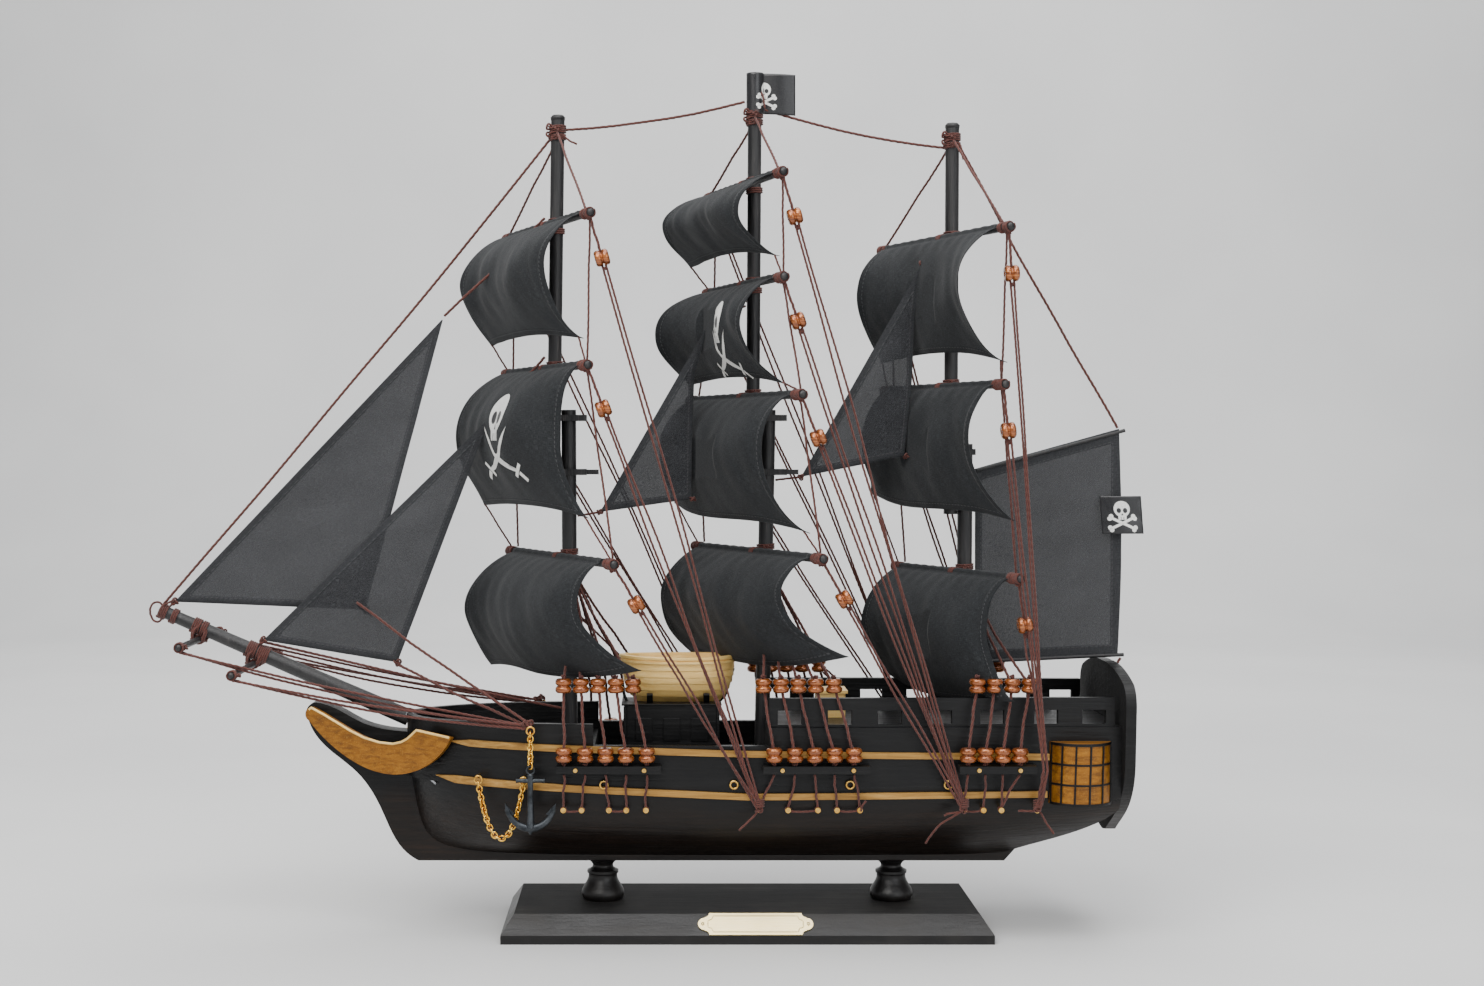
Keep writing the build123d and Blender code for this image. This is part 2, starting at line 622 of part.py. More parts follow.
with BuildPart() as brace_beads:
    add([
        bead_at(bead.part, hung, (hung - end).cross(Vector(0, 1, 0)))
        for name in SQUARE_SAILS
        for end, hung, _ in [brace_route(name, side) for side in (-1, 1)]
    ])
save(brace_beads.part, "brace_beads")

with BuildPart() as braces:
    cords = []
    for name in SQUARE_SAILS:
        for side in (-1, 1):
            end, hung, down = brace_route(name, side)
            cords.append(taut(end, hung, YARD_R + 1, BEAD_H / 2 + 0.8))
            for shift in (-0.9, 0.9):
                route = [hung] + down
                gaps = [BEAD_H / 2 + 1.4] + [0] * (len(down) - 1)
                for start, stop, gap in zip(route, down, gaps):
                    beside = Vector(shift, 0, 0)
                    cords.append(taut(start + beside, stop + beside, gap, 0))
    add(cords)
    add(sails["main_course"], mode=Mode.SUBTRACT)
save(braces.part, "braces")


def aloft(mast, z, reach=0):
    """A point on a mast's fore (negative reach) or after side at a height."""
    x = mast_x(mast, z)
    return (x + reach * (TOP_R + 0.6), 0, z)


with BuildPart() as stays:
    runs = [
        (aloft("fore", 397, 1), aloft("main", 411, -1.25)),
        (aloft("main", 407, 1.25), aloft("mizzen", 388, -1)),
        (aloft("fore", 392, -1), (SPRIT_TIP[0] + 2, 0, SPRIT_TIP[1] + 3)),
        (aloft("mizzen", 388, 1), (185.6, 0, 250)),
        ((-150, 1.6, 304), (-99.6, 0, 353)),
        ((-126.4, -1.8, 254.4), (-99.6, 0, 283.5)),
        ((188.2, 0, 133), (185.2, 0, 125)),
    ]
    add([taut(a, b) for a, b in runs])
    for side in (-1, 1):
        eye = (ANCHOR_X - 2.6, side * 49, CHAIN_TOP + 5)
        add(taut((SPRIT_YARDS[0][0], side * 43, SPRIT_YARDS[0][1] - 2.7), eye, GAP, 0))
        add(taut((SPRIT_YARDS[1][0], side * 53, SPRIT_YARDS[1][1] - 2.7), eye, GAP, 0))
save(stays.part, "stays")

with BuildPart() as yard_lines:
    cords = []
    for mast in MASTS:
        names = [name for name in SQUARE_SAILS if SQUARE_SAILS[name][0] == mast]
        for side in (-1, 1):
            x, _, z = aloft(mast, MASTS[mast][3][1] - (22 if mast == "main" else 8))
            tip = yard_end(names[0], side, inset=7) + Vector(0, 0, YARD_R)
            cords.append(taut((x, side * (TOP_R + 1.4), z), tip, 0, 0.9))
            for above, below in zip(names, names[1:]):
                start = yard_end(above, side, inset=7) - Vector(0, 0, YARD_R)
                end = yard_end(below, side, inset=7) + Vector(0, 0, YARD_R)
                cords.append(taut(start, end, 0.9, 0.9))
    add(cords)
    add(list(sails.values()), mode=Mode.SUBTRACT)
save(yard_lines.part, "yard_lines")

# ---------------------------------------------------------------- anchors and chains

for side, label in ((-1, "port"), (1, "starboard")):
    y = side * ANCHOR_Y
    with BuildPart() as anchor:
        with Locations(Plane(origin=(ANCHOR_X, y, ANCHOR_TOP - 2.1), z_dir=(0, 1, 0))):
            Torus(1.4, 0.45)
        add(rod((ANCHOR_X, y, ANCHOR_TOP - 3.3), (ANCHOR_X, y, ANCHOR_CROWN + 1), 1.2))
        add(rod((ANCHOR_X - 7, y, 80), (ANCHOR_X + 7, y, 80), 0.8))
        with BuildSketch(Plane.XZ.offset(-y - 1)) as arms:
            with BuildLine():
                bill = ThreePointArc(
                    (ANCHOR_X - 11, 67.5), (ANCHOR_X, ANCHOR_CROWN + 1.5), (ANCHOR_X + 11, 67.5)
                )
            trace(line_width=2.4)
        extrude(arms.sketch, amount=2)
    save(anchor.part, f"anchor_{label}")
    with BuildPart() as anchor_chain:
        add(rod((ANCHOR_X, y, CHAIN_TOP - 0.3), (ANCHOR_X, y, ANCHOR_TOP + 0.3), 1.1))
    save(anchor_chain.part, f"anchor_chain_{label}")
    first, last = [Vector(x, -side * wy, z) for x, wy, z in SWAG_ENDS]
    width = last - first
    drop = Vector(0, 0, -SWAG_DEPTH)
    with BuildPart() as chain_swag:
        with BuildLine() as hanging:
            FilletPolyline(first, first + width * 0.22 + drop, last - width * 0.22 + drop, last, radius=5.5)
        with BuildSketch(Plane(origin=first, z_dir=width * 0.22 + drop)):
            Circle(SWAG_R)
        sweep(path=hanging.line)
    save(chain_swag.part, f"chain_swag_{label}")
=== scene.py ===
from math import ceil, cos, hypot, pi, radians, sin, tau

import bpy
from mathutils import Matrix, Vector, noise


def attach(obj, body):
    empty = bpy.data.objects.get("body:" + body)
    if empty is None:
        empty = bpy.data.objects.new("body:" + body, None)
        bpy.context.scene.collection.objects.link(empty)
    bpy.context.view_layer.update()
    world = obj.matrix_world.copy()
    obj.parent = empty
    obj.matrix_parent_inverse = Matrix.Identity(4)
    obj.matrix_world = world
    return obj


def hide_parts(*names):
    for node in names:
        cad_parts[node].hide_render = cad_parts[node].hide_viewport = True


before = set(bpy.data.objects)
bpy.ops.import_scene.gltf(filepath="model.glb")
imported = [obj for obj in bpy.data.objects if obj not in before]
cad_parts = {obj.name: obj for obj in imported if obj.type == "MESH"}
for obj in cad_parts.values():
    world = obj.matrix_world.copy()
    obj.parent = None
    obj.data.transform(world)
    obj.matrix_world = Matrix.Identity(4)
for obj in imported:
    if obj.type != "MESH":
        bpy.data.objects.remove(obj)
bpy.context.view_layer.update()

noise.seed_set(7)  # noise_vector's offsets follow the clock until a seed is set

# Lengths are in millimetres in the tables and turned into metres as each mesh is made.
MM = 0.001
TOP_R, LOWER_R, YARD_R, CORD_R = 3.4, 3.7, 1.9, 0.7
GAP = 0.3
DOUBLING = 35
MASTS = {
    "fore": ((-86.8, 92.4), (-87.6, 257), (-95.3, 222), (-93, 403)),
    "main": ((8.8, 84.4), (12.2, 257), (4.3, 222), (5.5, 424.5)),
    "mizzen": ((109.8, 104.8), (110.6, 240), (103.2, 205), (104.2, 399)),
}
# mast, yard height, yard half length, brace angle, half head, half foot
YARDS = {
    "fore_topgallant": ("fore", 348.5, 65, 22, 55, 58),
    "fore_topsail": ("fore", 277, 64, 22, 58, 64),
    "fore_course": ("fore", 183.5, 72, 24, 60, 68),
    "main_royal": ("main", 369, 54, 18, 48, 50),
    "main_topgallant": ("main", 319, 56, 18, 50, 56),
    "main_topsail": ("main", 263, 68, 22, 60, 66),
    "main_course": ("main", 186, 71, 24, 62, 68),
    "mizzen_topgallant": ("mizzen", 342, 64, 22, 56, 62),
    "mizzen_topsail": ("mizzen", 268, 60, 22, 54, 60),
    "mizzen_course": ("mizzen", 176, 58, 24, 52, 54),
}
# How each sail hangs: how far aft its port clew is, the clew's drop, the foot's drop in the middle,
# the starboard clew's two, then how far the port leech, the middle and the starboard leech belly forward.
HANGS = {
    "fore_topgallant": (0, 59, 55, 0, 57, 15, 22, 26),
    "fore_topsail": (2, 72, 67, 0, 69, 8, 24, 27),
    "fore_course": (17, 50, 57, 0, 60, 9, 22, 27),
    "main_royal": (1, 40, 35, 0, 37, 16, 20, 26),
    "main_topgallant": (3, 51, 46, 3, 48, 16, 15.5, 29),
    "main_topsail": (5, 65, 60, 0, 54, 14, 18.5, 20),
    "main_course": (15, 46, 54, 10, 59, 12, 20, 25),
    "mizzen_topgallant": (0, 64, 57, 9, 59, 18, 9, 19),
    "mizzen_topsail": (7, 65, 60, 0, 52, 10, 12, 16),
    "mizzen_course": (0, 58, 61, 5, 56, 8, 19, 24),
}
STAY_SAILS = {
    "outer_jib": (1.6, ((-285, 161), (-150.5, 303), (-189.5, 157)), 3.5),
    "inner_jib": (-1.8, ((-240, 142), (-127, 253), (-173, 131)), -3.0),
    "main_staysail": (0, ((-72, 206), (-16, 303), (-24, 275), (-25, 249), (-25.5, 212.5)), -2.5),
    "mizzen_staysail": (0, ((28.5, 223.5), (89, 330), (86, 302), (84.5, 268), (81, 234)), -2.5),
    "spanker": (0, ((115.5, 133), (115.5, 225), (187.5, 245), (186.8, 136.5)), 4.0),
}
BEAD_H = 6.8
LOWER_BEAD_Y, LOWER_BEAD_Z = 52.6, 92.4
UPPER_BEAD_Y, UPPER_BEAD_Z = 45.6, 124.5
BEADS = {
    "fore": ((-87.5, -77.5, -67.8, -58.1, -48.2), (-88, -79.7, -71.4, -63.1, -54.8)),
    "main": ((12.2, 22, 31.4, 40.8, 50), (7.4, 15.7, 24, 32.3, 41)),
    "mizzen": ((104, 112.2, 120.4, 128.6), (109.5, 117.8, 126.1, 134.4)),
}
CHANNEL_Y, CHANNEL_Z = 54, 83.6
NAIL_Z = 65.5
NAIL_X = (-88, -79.3, -66.3, -58, -48.7, 5.6, 19, 33.2, 42.3, 53.2, 102.8, 112, 120.5, 137.5)
BRACE_NAIL = {"fore": 5.6, "main": 102.8, "mizzen": 137.5}
BRACE_Y = 49.9
MIZZEN_LEAD = (140, 56.2, 86)
SPRIT_TIP, SPRIT_HEEL = (-292, 157), (-167.5, 103.2)
SPRIT_YARDS = ((-272, 142.4, 45), (-244.7, 130.2, 55))
ANCHOR_X, ANCHOR_Y = -103.5, 50.5
CHAIN_TOP, ANCHOR_TOP, ANCHOR_CROWN = 101, 87, 56
SWAG_ENDS = ((-129, -42.4, 76.4), (-107, -47, 76.4))
SWAG_DEPTH = 25
SIDES = (-1, 1)
X_AXIS, Y_AXIS, UP = Vector((1, 0, 0)), Vector((0, 1, 0)), Vector((0, 0, 1))
CLOTH_THICK, PAPER_THICK = 0.35, 0.25


# ------------------------------------------------------------------ materials

def lin(r, g, b):
    """A colour given in sRGB steps of 255, as linear light."""
    out = []
    for v in (r, g, b):
        v /= 255
        out.append(v / 12.92 if v <= 0.04045 else ((v + 0.055) / 1.055) ** 2.4)
    return (*out, 1.0)


class Shade:
    """A small wrapper that builds one node material."""

    def __init__(self, name):
        self.mat = bpy.data.materials.new(name)
        self.mat.use_nodes = True
        self.tree = self.mat.node_tree
        self.tree.nodes.clear()
        self.out = self.node("ShaderNodeOutputMaterial")
        self.body = self.node("ShaderNodeBsdfPrincipled")
        self.join(self.body.outputs[0], self.out.inputs[0])
        self.where = self.node("ShaderNodeTexCoord").outputs["Object"]

    def node(self, kind, **settings):
        made = self.tree.nodes.new(kind)
        for key, value in settings.items():
            setattr(made, key, value)
        return made

    def join(self, a, b):
        self.tree.links.new(a, b)

    def feed(self, socket, value):
        """Sets a socket to a constant, or joins another node's output to it."""
        if isinstance(value, (int, float, tuple)):
            socket.default_value = value
        else:
            self.join(value, socket)

    def add(self, kind, feeds, **settings):
        """A node whose inputs are fed by name or number."""
        made = self.node(kind, **settings)
        for key, value in feeds.items():
            self.feed(made.inputs[key], value)
        return made

    def stretched(self, scale, source=None):
        return self.add("ShaderNodeMapping", {"Vector": source or self.where, "Scale": scale}).outputs[0]

    def noise(self, where, scale, detail=5, rough=0.55, warp=0.0):
        feeds = {"Vector": where, "Scale": scale, "Detail": detail, "Roughness": rough, "Distortion": warp}
        return self.add("ShaderNodeTexNoise", feeds).outputs["Fac"]

    def ramp(self, fac, stops):
        made = self.add("ShaderNodeValToRGB", {0: fac})
        points = made.color_ramp.elements
        while len(points) < len(stops):
            points.new(0.5)
        for point, (at, colour) in zip(points, stops):
            point.position = at
            point.color = colour
        return made.outputs[0]

    def span(self, value, low, high, to_low, to_high):
        feeds = dict(enumerate((value, low, high, to_low, to_high)))
        return self.add("ShaderNodeMapRange", feeds).outputs[0]

    def maths(self, kind, *terms):
        return self.add("ShaderNodeMath", dict(enumerate(terms)), operation=kind).outputs[0]

    def mix(self, fac, a, b):
        return self.add("ShaderNodeMix", {0: fac, 6: a, 7: b}, data_type="RGBA").outputs[2]

    def wash(self, colour, patches, low, high, amount, over):
        """Lays a second colour over the first, more of it as the patches run from low to high."""
        return self.mix(self.span(patches, low, high, 0.0, amount), colour, over)

    def bump(self, height, strength, distance, before=None):
        feeds = {"Height": height, "Strength": strength, "Distance": distance}
        if before is not None:
            feeds["Normal"] = before
        return self.add("ShaderNodeBump", feeds).outputs[0]

    def parts(self, vector):
        return self.add("ShaderNodeSeparateXYZ", {0: vector}).outputs

    def facing(self):
        """The way the surface faces, as x, y and z."""
        return self.parts(self.node("ShaderNodeNewGeometry").outputs["Normal"])

    def now(self, name):
        """What feeds an input of the shader so far."""
        return self.body.inputs[name].links[0].from_socket

    def set(self, **values):
        for key, value in values.items():
            self.feed(self.body.inputs[key.replace("_", " ")], value)


def painted(name, dark, mid, light, rough, strokes, stroke_depth, dust=0.0, metal=0.0):
    """Brushed paint: long strokes in colour, gloss and relief, and a little dust in patches."""
    s = Shade(name)
    long = s.stretched(strokes)
    streak = s.noise(long, 1.0, 6, 0.62, 0.4)
    cloud = s.noise(s.where, 38, 4, 0.5)
    fine = s.noise(s.where, 900, 3, 0.6)
    colour = s.ramp(streak, ((0.28, dark), (0.52, mid), (0.78, light)))
    if dust:
        powder = s.ramp(cloud, ((0.5, (0, 0, 0, 1)), (0.85, (1, 1, 1, 1))))
        colour = s.mix(s.maths("MULTIPLY", powder, dust), colour, lin(150, 142, 132))
    gloss = s.maths("ADD", s.span(streak, 0.3, 0.75, *rough), s.span(cloud, 0.3, 0.7, -0.05, 0.06))
    relief = s.bump(streak, stroke_depth, 0.0009)
    relief = s.bump(fine, 0.12, 0.0003, relief)
    s.set(Base_Color=colour, Roughness=gloss, Normal=relief, Metallic=metal)
    return s


DECK_PLANKS_PER_METRE = 190
RUBBED_BELOW, RUBBED_FADE = 0.062, 0.072
FACE_ON = (0.9, 0.97)


def hull_paint():
    """Black brushed paint with a brownish band below the wale line, where it was rubbed thinner."""
    tones = lin(4, 4, 5), lin(9, 9, 10), lin(20, 20, 20)
    s = painted("hull_paint", *tones, (0.3, 0.5), (18, 260, 420), 0.45, 0.012)
    _, across, height = s.parts(s.where)
    wobble = s.span(s.noise(s.where, 30, 4), 0.3, 0.7, -0.0035, 0.0035)
    low = s.span(s.maths("ADD", height, wobble), RUBBED_BELOW, RUBBED_FADE, 1.0, 0.0)
    grain = s.noise(s.stretched((24, 300, 300)), 1.0, 6, 0.7, 0.8)
    plank = s.maths("FRACT", s.maths("MULTIPLY", across, DECK_PLANKS_PER_METRE))
    seam = s.span(s.maths("ABSOLUTE", s.maths("SUBTRACT", plank, 0.5)), 0.44, 0.5, 0.0, 1.0)
    fore_and_aft, _, upward = s.facing()
    seam = s.maths("MULTIPLY", seam, s.maths("GREATER_THAN", upward, FACE_ON[0]))
    dull = s.span(s.maths("ABSOLUTE", fore_and_aft), *FACE_ON, 0.0, 0.85)
    s.set(Roughness=s.maths("MAXIMUM", s.now("Roughness"), dull))
    s.set(Normal=s.bump(s.maths("SUBTRACT", 1.0, seam), 0.6, 0.0006, s.now("Normal")))
    brown = s.ramp(grain, ((0.3, lin(12, 8, 6)), (0.55, lin(24, 16, 11)), (0.8, lin(44, 30, 20))))
    colour = s.mix(s.maths("MULTIPLY", low, 0.8), s.now("Base Color"), brown)
    s.set(Base_Color=colour, Specular_IOR_Level=0.26)
    return s.mat


def stand_lacquer():
    """Black lacquer over open grain: the level top is duller than the bevels, which catch the light."""
    tones = lin(8, 7, 7), lin(14, 12, 12), lin(28, 25, 23)
    s = painted("stand_lacquer", *tones, (0.34, 0.48), (26, 210, 210), 0.3, 0.06)
    dull = s.span(s.facing()[2], *FACE_ON, 0.0, 0.8)
    s.set(Roughness=s.maths("MAXIMUM", s.now("Roughness"), dull))
    pits = s.add("ShaderNodeTexVoronoi", {"Vector": s.where, "Scale": 420}, feature="DISTANCE_TO_EDGE")
    s.set(Normal=s.bump(pits.outputs[0], 0.14, 0.0004, s.now("Normal")), Specular_IOR_Level=0.4)
    return s.mat


def spar_wood():
    """Black stain on dowel: grain lines run up and along, with a few paler pores."""
    s = Shade("spar_wood")
    warp = s.noise(s.stretched((190, 190, 16)), 1.0, 7, 0.68, 1.1)
    pore = s.noise(s.stretched((1500, 1500, 70)), 1.0, 3, 0.5)
    colour = s.ramp(warp, ((0.3, lin(13, 13, 14)), (0.55, lin(27, 26, 27)), (0.8, lin(58, 54, 53))))
    colour = s.wash(colour, pore, 0.62, 0.8, 0.5, lin(96, 88, 84))
    relief = s.bump(pore, 0.4, 0.0004, s.bump(warp, 0.6, 0.0007))
    s.set(Base_Color=colour, Roughness=s.span(warp, 0.3, 0.7, 0.36, 0.6), Normal=relief)
    return s.mat


def gold_paint():
    """Ochre-gold paint with a fine metallic grain and darker rubbed patches."""
    tones = lin(90, 52, 8), lin(138, 86, 14), lin(168, 112, 28)
    s = painted("gold_paint", *tones, (0.34, 0.55), (30, 420, 520), 0.3, 0.02, 0.45)
    fleck, worn = s.noise(s.where, 2600, 2, 0.5), s.noise(s.where, 90, 6, 0.68)
    colour = s.wash(s.now("Base Color"), fleck, 0.55, 0.75, 0.45, lin(204, 156, 66))
    s.set(Base_Color=s.wash(colour, worn, 0.62, 0.8, 0.55, lin(74, 50, 20)))
    return s.mat


def wale_gold():
    """The hull's gold lines: a drier, paler coat than the head boards'."""
    tones = lin(112, 78, 30), lin(160, 118, 54), lin(194, 154, 88)
    s = painted("wale_gold", *tones, (0.34, 0.52), (30, 420, 520), 0.3, 0.04, 0.4)
    worn = s.noise(s.where, 110, 6, 0.68)
    s.set(Base_Color=s.wash(s.now("Base Color"), worn, 0.6, 0.8, 0.5, lin(92, 66, 30)))
    return s.mat


def boat_gold():
    """A paler, smoother gold paint than the wales have, over visible strokes."""
    tones = lin(226, 180, 98), lin(240, 200, 120), lin(252, 222, 152)
    s = painted("boat_gold", *tones, (0.3, 0.46), (40, 300, 520), 0.16, 0.02, 0.2)
    fleck = s.noise(s.where, 2400, 2, 0.5)
    s.set(Base_Color=s.wash(s.now("Base Color"), fleck, 0.55, 0.75, 0.4, lin(252, 232, 180)))
    return s.mat


def metal(name, dark, light, rough, scratch=600, tarnish=None):
    s = Shade(name)
    line = s.noise(s.stretched((scratch, scratch * 6, scratch)), 1.0, 3, 0.5)
    colour = s.ramp(s.noise(s.where, 240, 5, 0.6), ((0.3, dark), (0.7, light)))
    if tarnish:
        colour = s.wash(colour, s.noise(s.where, 700, 4, 0.6), 0.58, 0.74, 0.6, tarnish)
    s.set(Base_Color=colour, Metallic=1.0, Roughness=s.span(line, 0.3, 0.7, *rough))
    s.set(Normal=s.bump(line, 0.14, 0.0002))
    return s.mat


def plate_brass():
    """Pale polished sheet brass: fine lines along its length and hardly any relief."""
    s = Shade("plate_brass")
    line = s.noise(s.stretched((60, 2600, 2600)), 1.0, 3, 0.5)
    tone = s.ramp(line, ((0.3, lin(222, 200, 140)), (0.7, lin(244, 228, 180))))
    tone = s.wash(tone, s.noise(s.where, 70, 3, 0.5), 0.45, 0.7, 0.25, lin(206, 178, 116))
    s.set(Base_Color=tone, Metallic=0.85, Roughness=s.span(line, 0.3, 0.7, 0.3, 0.42))
    s.set(Normal=s.bump(line, 0.05, 0.0001))
    return s.mat


def bead_wood():
    """Copper-brown lacquer over turned wood, with rings round the bead and a bright coat."""
    s = Shade("bead_wood")
    ring = s.noise(s.stretched((120, 120, 1300)), 1.0, 4, 0.6, 0.5)
    tone = s.ramp(ring, ((0.3, lin(98, 46, 17)), (0.55, lin(156, 85, 34)), (0.8, lin(200, 128, 62))))
    tone = s.wash(tone, s.noise(s.where, 130, 4, 0.6), 0.45, 0.7, 0.45, lin(122, 61, 24))
    s.set(Base_Color=tone, Roughness=s.span(ring, 0.3, 0.7, 0.18, 0.32), Metallic=0.55)
    s.set(Coat_Weight=0.7, Coat_Roughness=0.12, Normal=s.bump(ring, 0.22, 0.0003))
    return s.mat


def cord_cotton():
    """Red-brown twisted cotton: painted shade between the strands, lighter crowns, fibres in fine noise."""
    s = Shade("cord_cotton")
    # lay runs from 0 in the groove between strands to 1 on a strand's crown: the ramp paints shade into the
    # grooves.
    lay = s.node("ShaderNodeAttribute", attribute_name="lay").outputs["Fac"]
    fibre = s.noise(s.where, 3200, 3, 0.6)
    tone = s.ramp(lay, ((0.0, lin(34, 12, 9)), (0.5, lin(74, 30, 22)), (1.0, lin(98, 46, 35))))
    tone = s.wash(tone, fibre, 0.4, 0.75, 0.5, lin(102, 52, 39))
    tone = s.wash(tone, s.noise(s.where, 60, 4, 0.6), 0.5, 0.75, 0.4, lin(50, 20, 17))
    s.set(Base_Color=tone, Roughness=0.82, Sheen_Weight=0.14, Sheen_Roughness=0.5)
    s.set(Normal=s.bump(fibre, 0.5, 0.0003))
    return s.mat


HEM, STITCH_LINE = (3.3, 3.8), 2.9


def sailcloth(name, dark, mid, light, sheer):
    """Black plain-weave cotton: slubs both ways, a folded hem with a line of stitches, slightly sheer.

    The flat cloth's own millimetres are in the mesh's UV map, and its distance to the edge is in "rim".
    """
    s = Shade(name)
    uv = s.node("ShaderNodeUVMap", uv_map="cloth").outputs[0]
    rim = s.node("ShaderNodeAttribute", attribute_name="rim").outputs["Fac"]
    weft, warp = [s.noise(s.stretched(way, uv), 1.0, 4, 0.62) for way in ((0.35, 4.6, 1), (4.6, 0.35, 1))]
    thread = s.maths("MULTIPLY", s.maths("ADD", weft, warp), 0.5)
    weave = s.add("ShaderNodeTexChecker", {"Vector": uv, "Scale": 2.4}).outputs["Fac"]
    tone = s.ramp(thread, ((0.36, dark), (0.5, mid), (0.66, light)))
    tone = s.wash(tone, s.noise(uv, 0.05, 4, 0.55), 0.35, 0.7, 0.35, dark)
    tone = s.mix(s.maths("MULTIPLY", weave, 0.16), tone, light)
    in_hem = s.span(rim, *HEM, 1.0, 0.0)
    tone = s.mix(s.maths("MULTIPLY", in_hem, 0.25), tone, dark)
    u, v, _ = s.parts(uv)
    dash = s.maths("GREATER_THAN", s.maths("FRACT", s.maths("MULTIPLY", s.maths("ADD", u, v), 0.42)), 0.42)
    seam = s.maths("MULTIPLY", dash, s.maths("COMPARE", rim, STITCH_LINE, 0.2))
    tone = s.mix(s.maths("MULTIPLY", seam, 0.55), tone, lin(88, 88, 90))
    relief = s.bump(in_hem, 0.6, 0.0005, s.bump(thread, 0.55, 0.0004))
    relief = s.bump(seam, 0.4, 0.0003, relief)
    s.set(Base_Color=tone, Roughness=0.86, Normal=relief)
    s.set(Sheen_Weight=0.1, Sheen_Roughness=0.45, Specular_IOR_Level=0.3)
    through = s.add("ShaderNodeBsdfTransparent", {0: (0.8, 0.8, 0.8, 1)}).outputs[0]
    glow = s.add("ShaderNodeBsdfTranslucent", {0: tone}).outputs[0]
    woven = s.add("ShaderNodeMixShader", {0: 0.22, 1: s.body.outputs[0], 2: glow}).outputs[0]
    open_weave = s.maths("MULTIPLY", s.maths("SUBTRACT", 1.0, s.maths("MULTIPLY", in_hem, 0.6)), sheer)
    gaps = s.maths("MULTIPLY", open_weave, s.span(thread, 0.35, 0.65, 1.4, 0.6))
    veil = s.add("ShaderNodeMixShader", {0: gaps, 1: woven, 2: through})
    s.join(veil.outputs[0], s.out.inputs[0])
    return s.mat


def printed(name, base, worn, rough):
    """Ink or paper: a near-flat tone broken by fine speckle and faint creases."""
    s = Shade(name)
    crease = s.noise(s.stretched((90, 260, 40)), 1.0, 5, 0.6, 1.2)
    s.set(Base_Color=s.ramp(s.noise(s.where, 2200, 3, 0.6), ((0.3, worn), (0.6, base))))
    s.set(Roughness=s.span(crease, 0.3, 0.7, rough, rough + 0.15), Normal=s.bump(crease, 0.35, 0.0006))
    return s.mat

MATS = {
    "hull": hull_paint(),
    "stand": stand_lacquer(),
    "spar": spar_wood(),
    "gold": gold_paint(),
    "boat": boat_gold(),
    "wale": wale_gold(),
    "brass": metal("brass", lin(190, 140, 60), lin(238, 196, 112), (0.2, 0.36), tarnish=lin(120, 84, 36)),
    "plate": plate_brass(),
    "chain": metal(
        "gold_chain", lin(212, 150, 44), lin(255, 214, 112), (0.12, 0.24), tarnish=lin(150, 96, 30),
    ),
    "anchor": metal("anchor_cast", lin(40, 43, 46), lin(84, 88, 92), (0.38, 0.6), 900, lin(26, 27, 29)),
    "steel": metal("steel", lin(130, 132, 136), lin(190, 192, 196), (0.28, 0.44)),
    "bead": bead_wood(),
    "cord": cord_cotton(),
    "sail": sailcloth("sail_cotton", lin(16, 17, 19), lin(34, 36, 38), lin(66, 69, 72), 0.06),
    "jib": sailcloth("jib_cotton", lin(29, 30, 32), lin(51, 52, 55), lin(84, 85, 88), 0.23),
    "paper": printed("flag_paper", lin(20, 20, 22), lin(40, 40, 42), 0.24),
    "ink": printed("white_ink", lin(236, 236, 232), lin(196, 196, 192), 0.5),
}


# ------------------------------------------------------------------ mesh helpers

def mesh(name, verts, faces, mat, body="ship", smooth=True):
    """A new piece from points in millimetres, riding a body."""
    data = bpy.data.meshes.new(name)
    data.from_pydata([(x * MM, y * MM, z * MM) for x, y, z in verts], [], faces)
    data.materials.append(MATS[mat])
    data.update()
    data.polygons.foreach_set("use_smooth", [smooth] * len(data.polygons))
    made = bpy.data.objects.new(name, data)
    bpy.context.scene.collection.objects.link(made)
    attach(made, body)
    return made


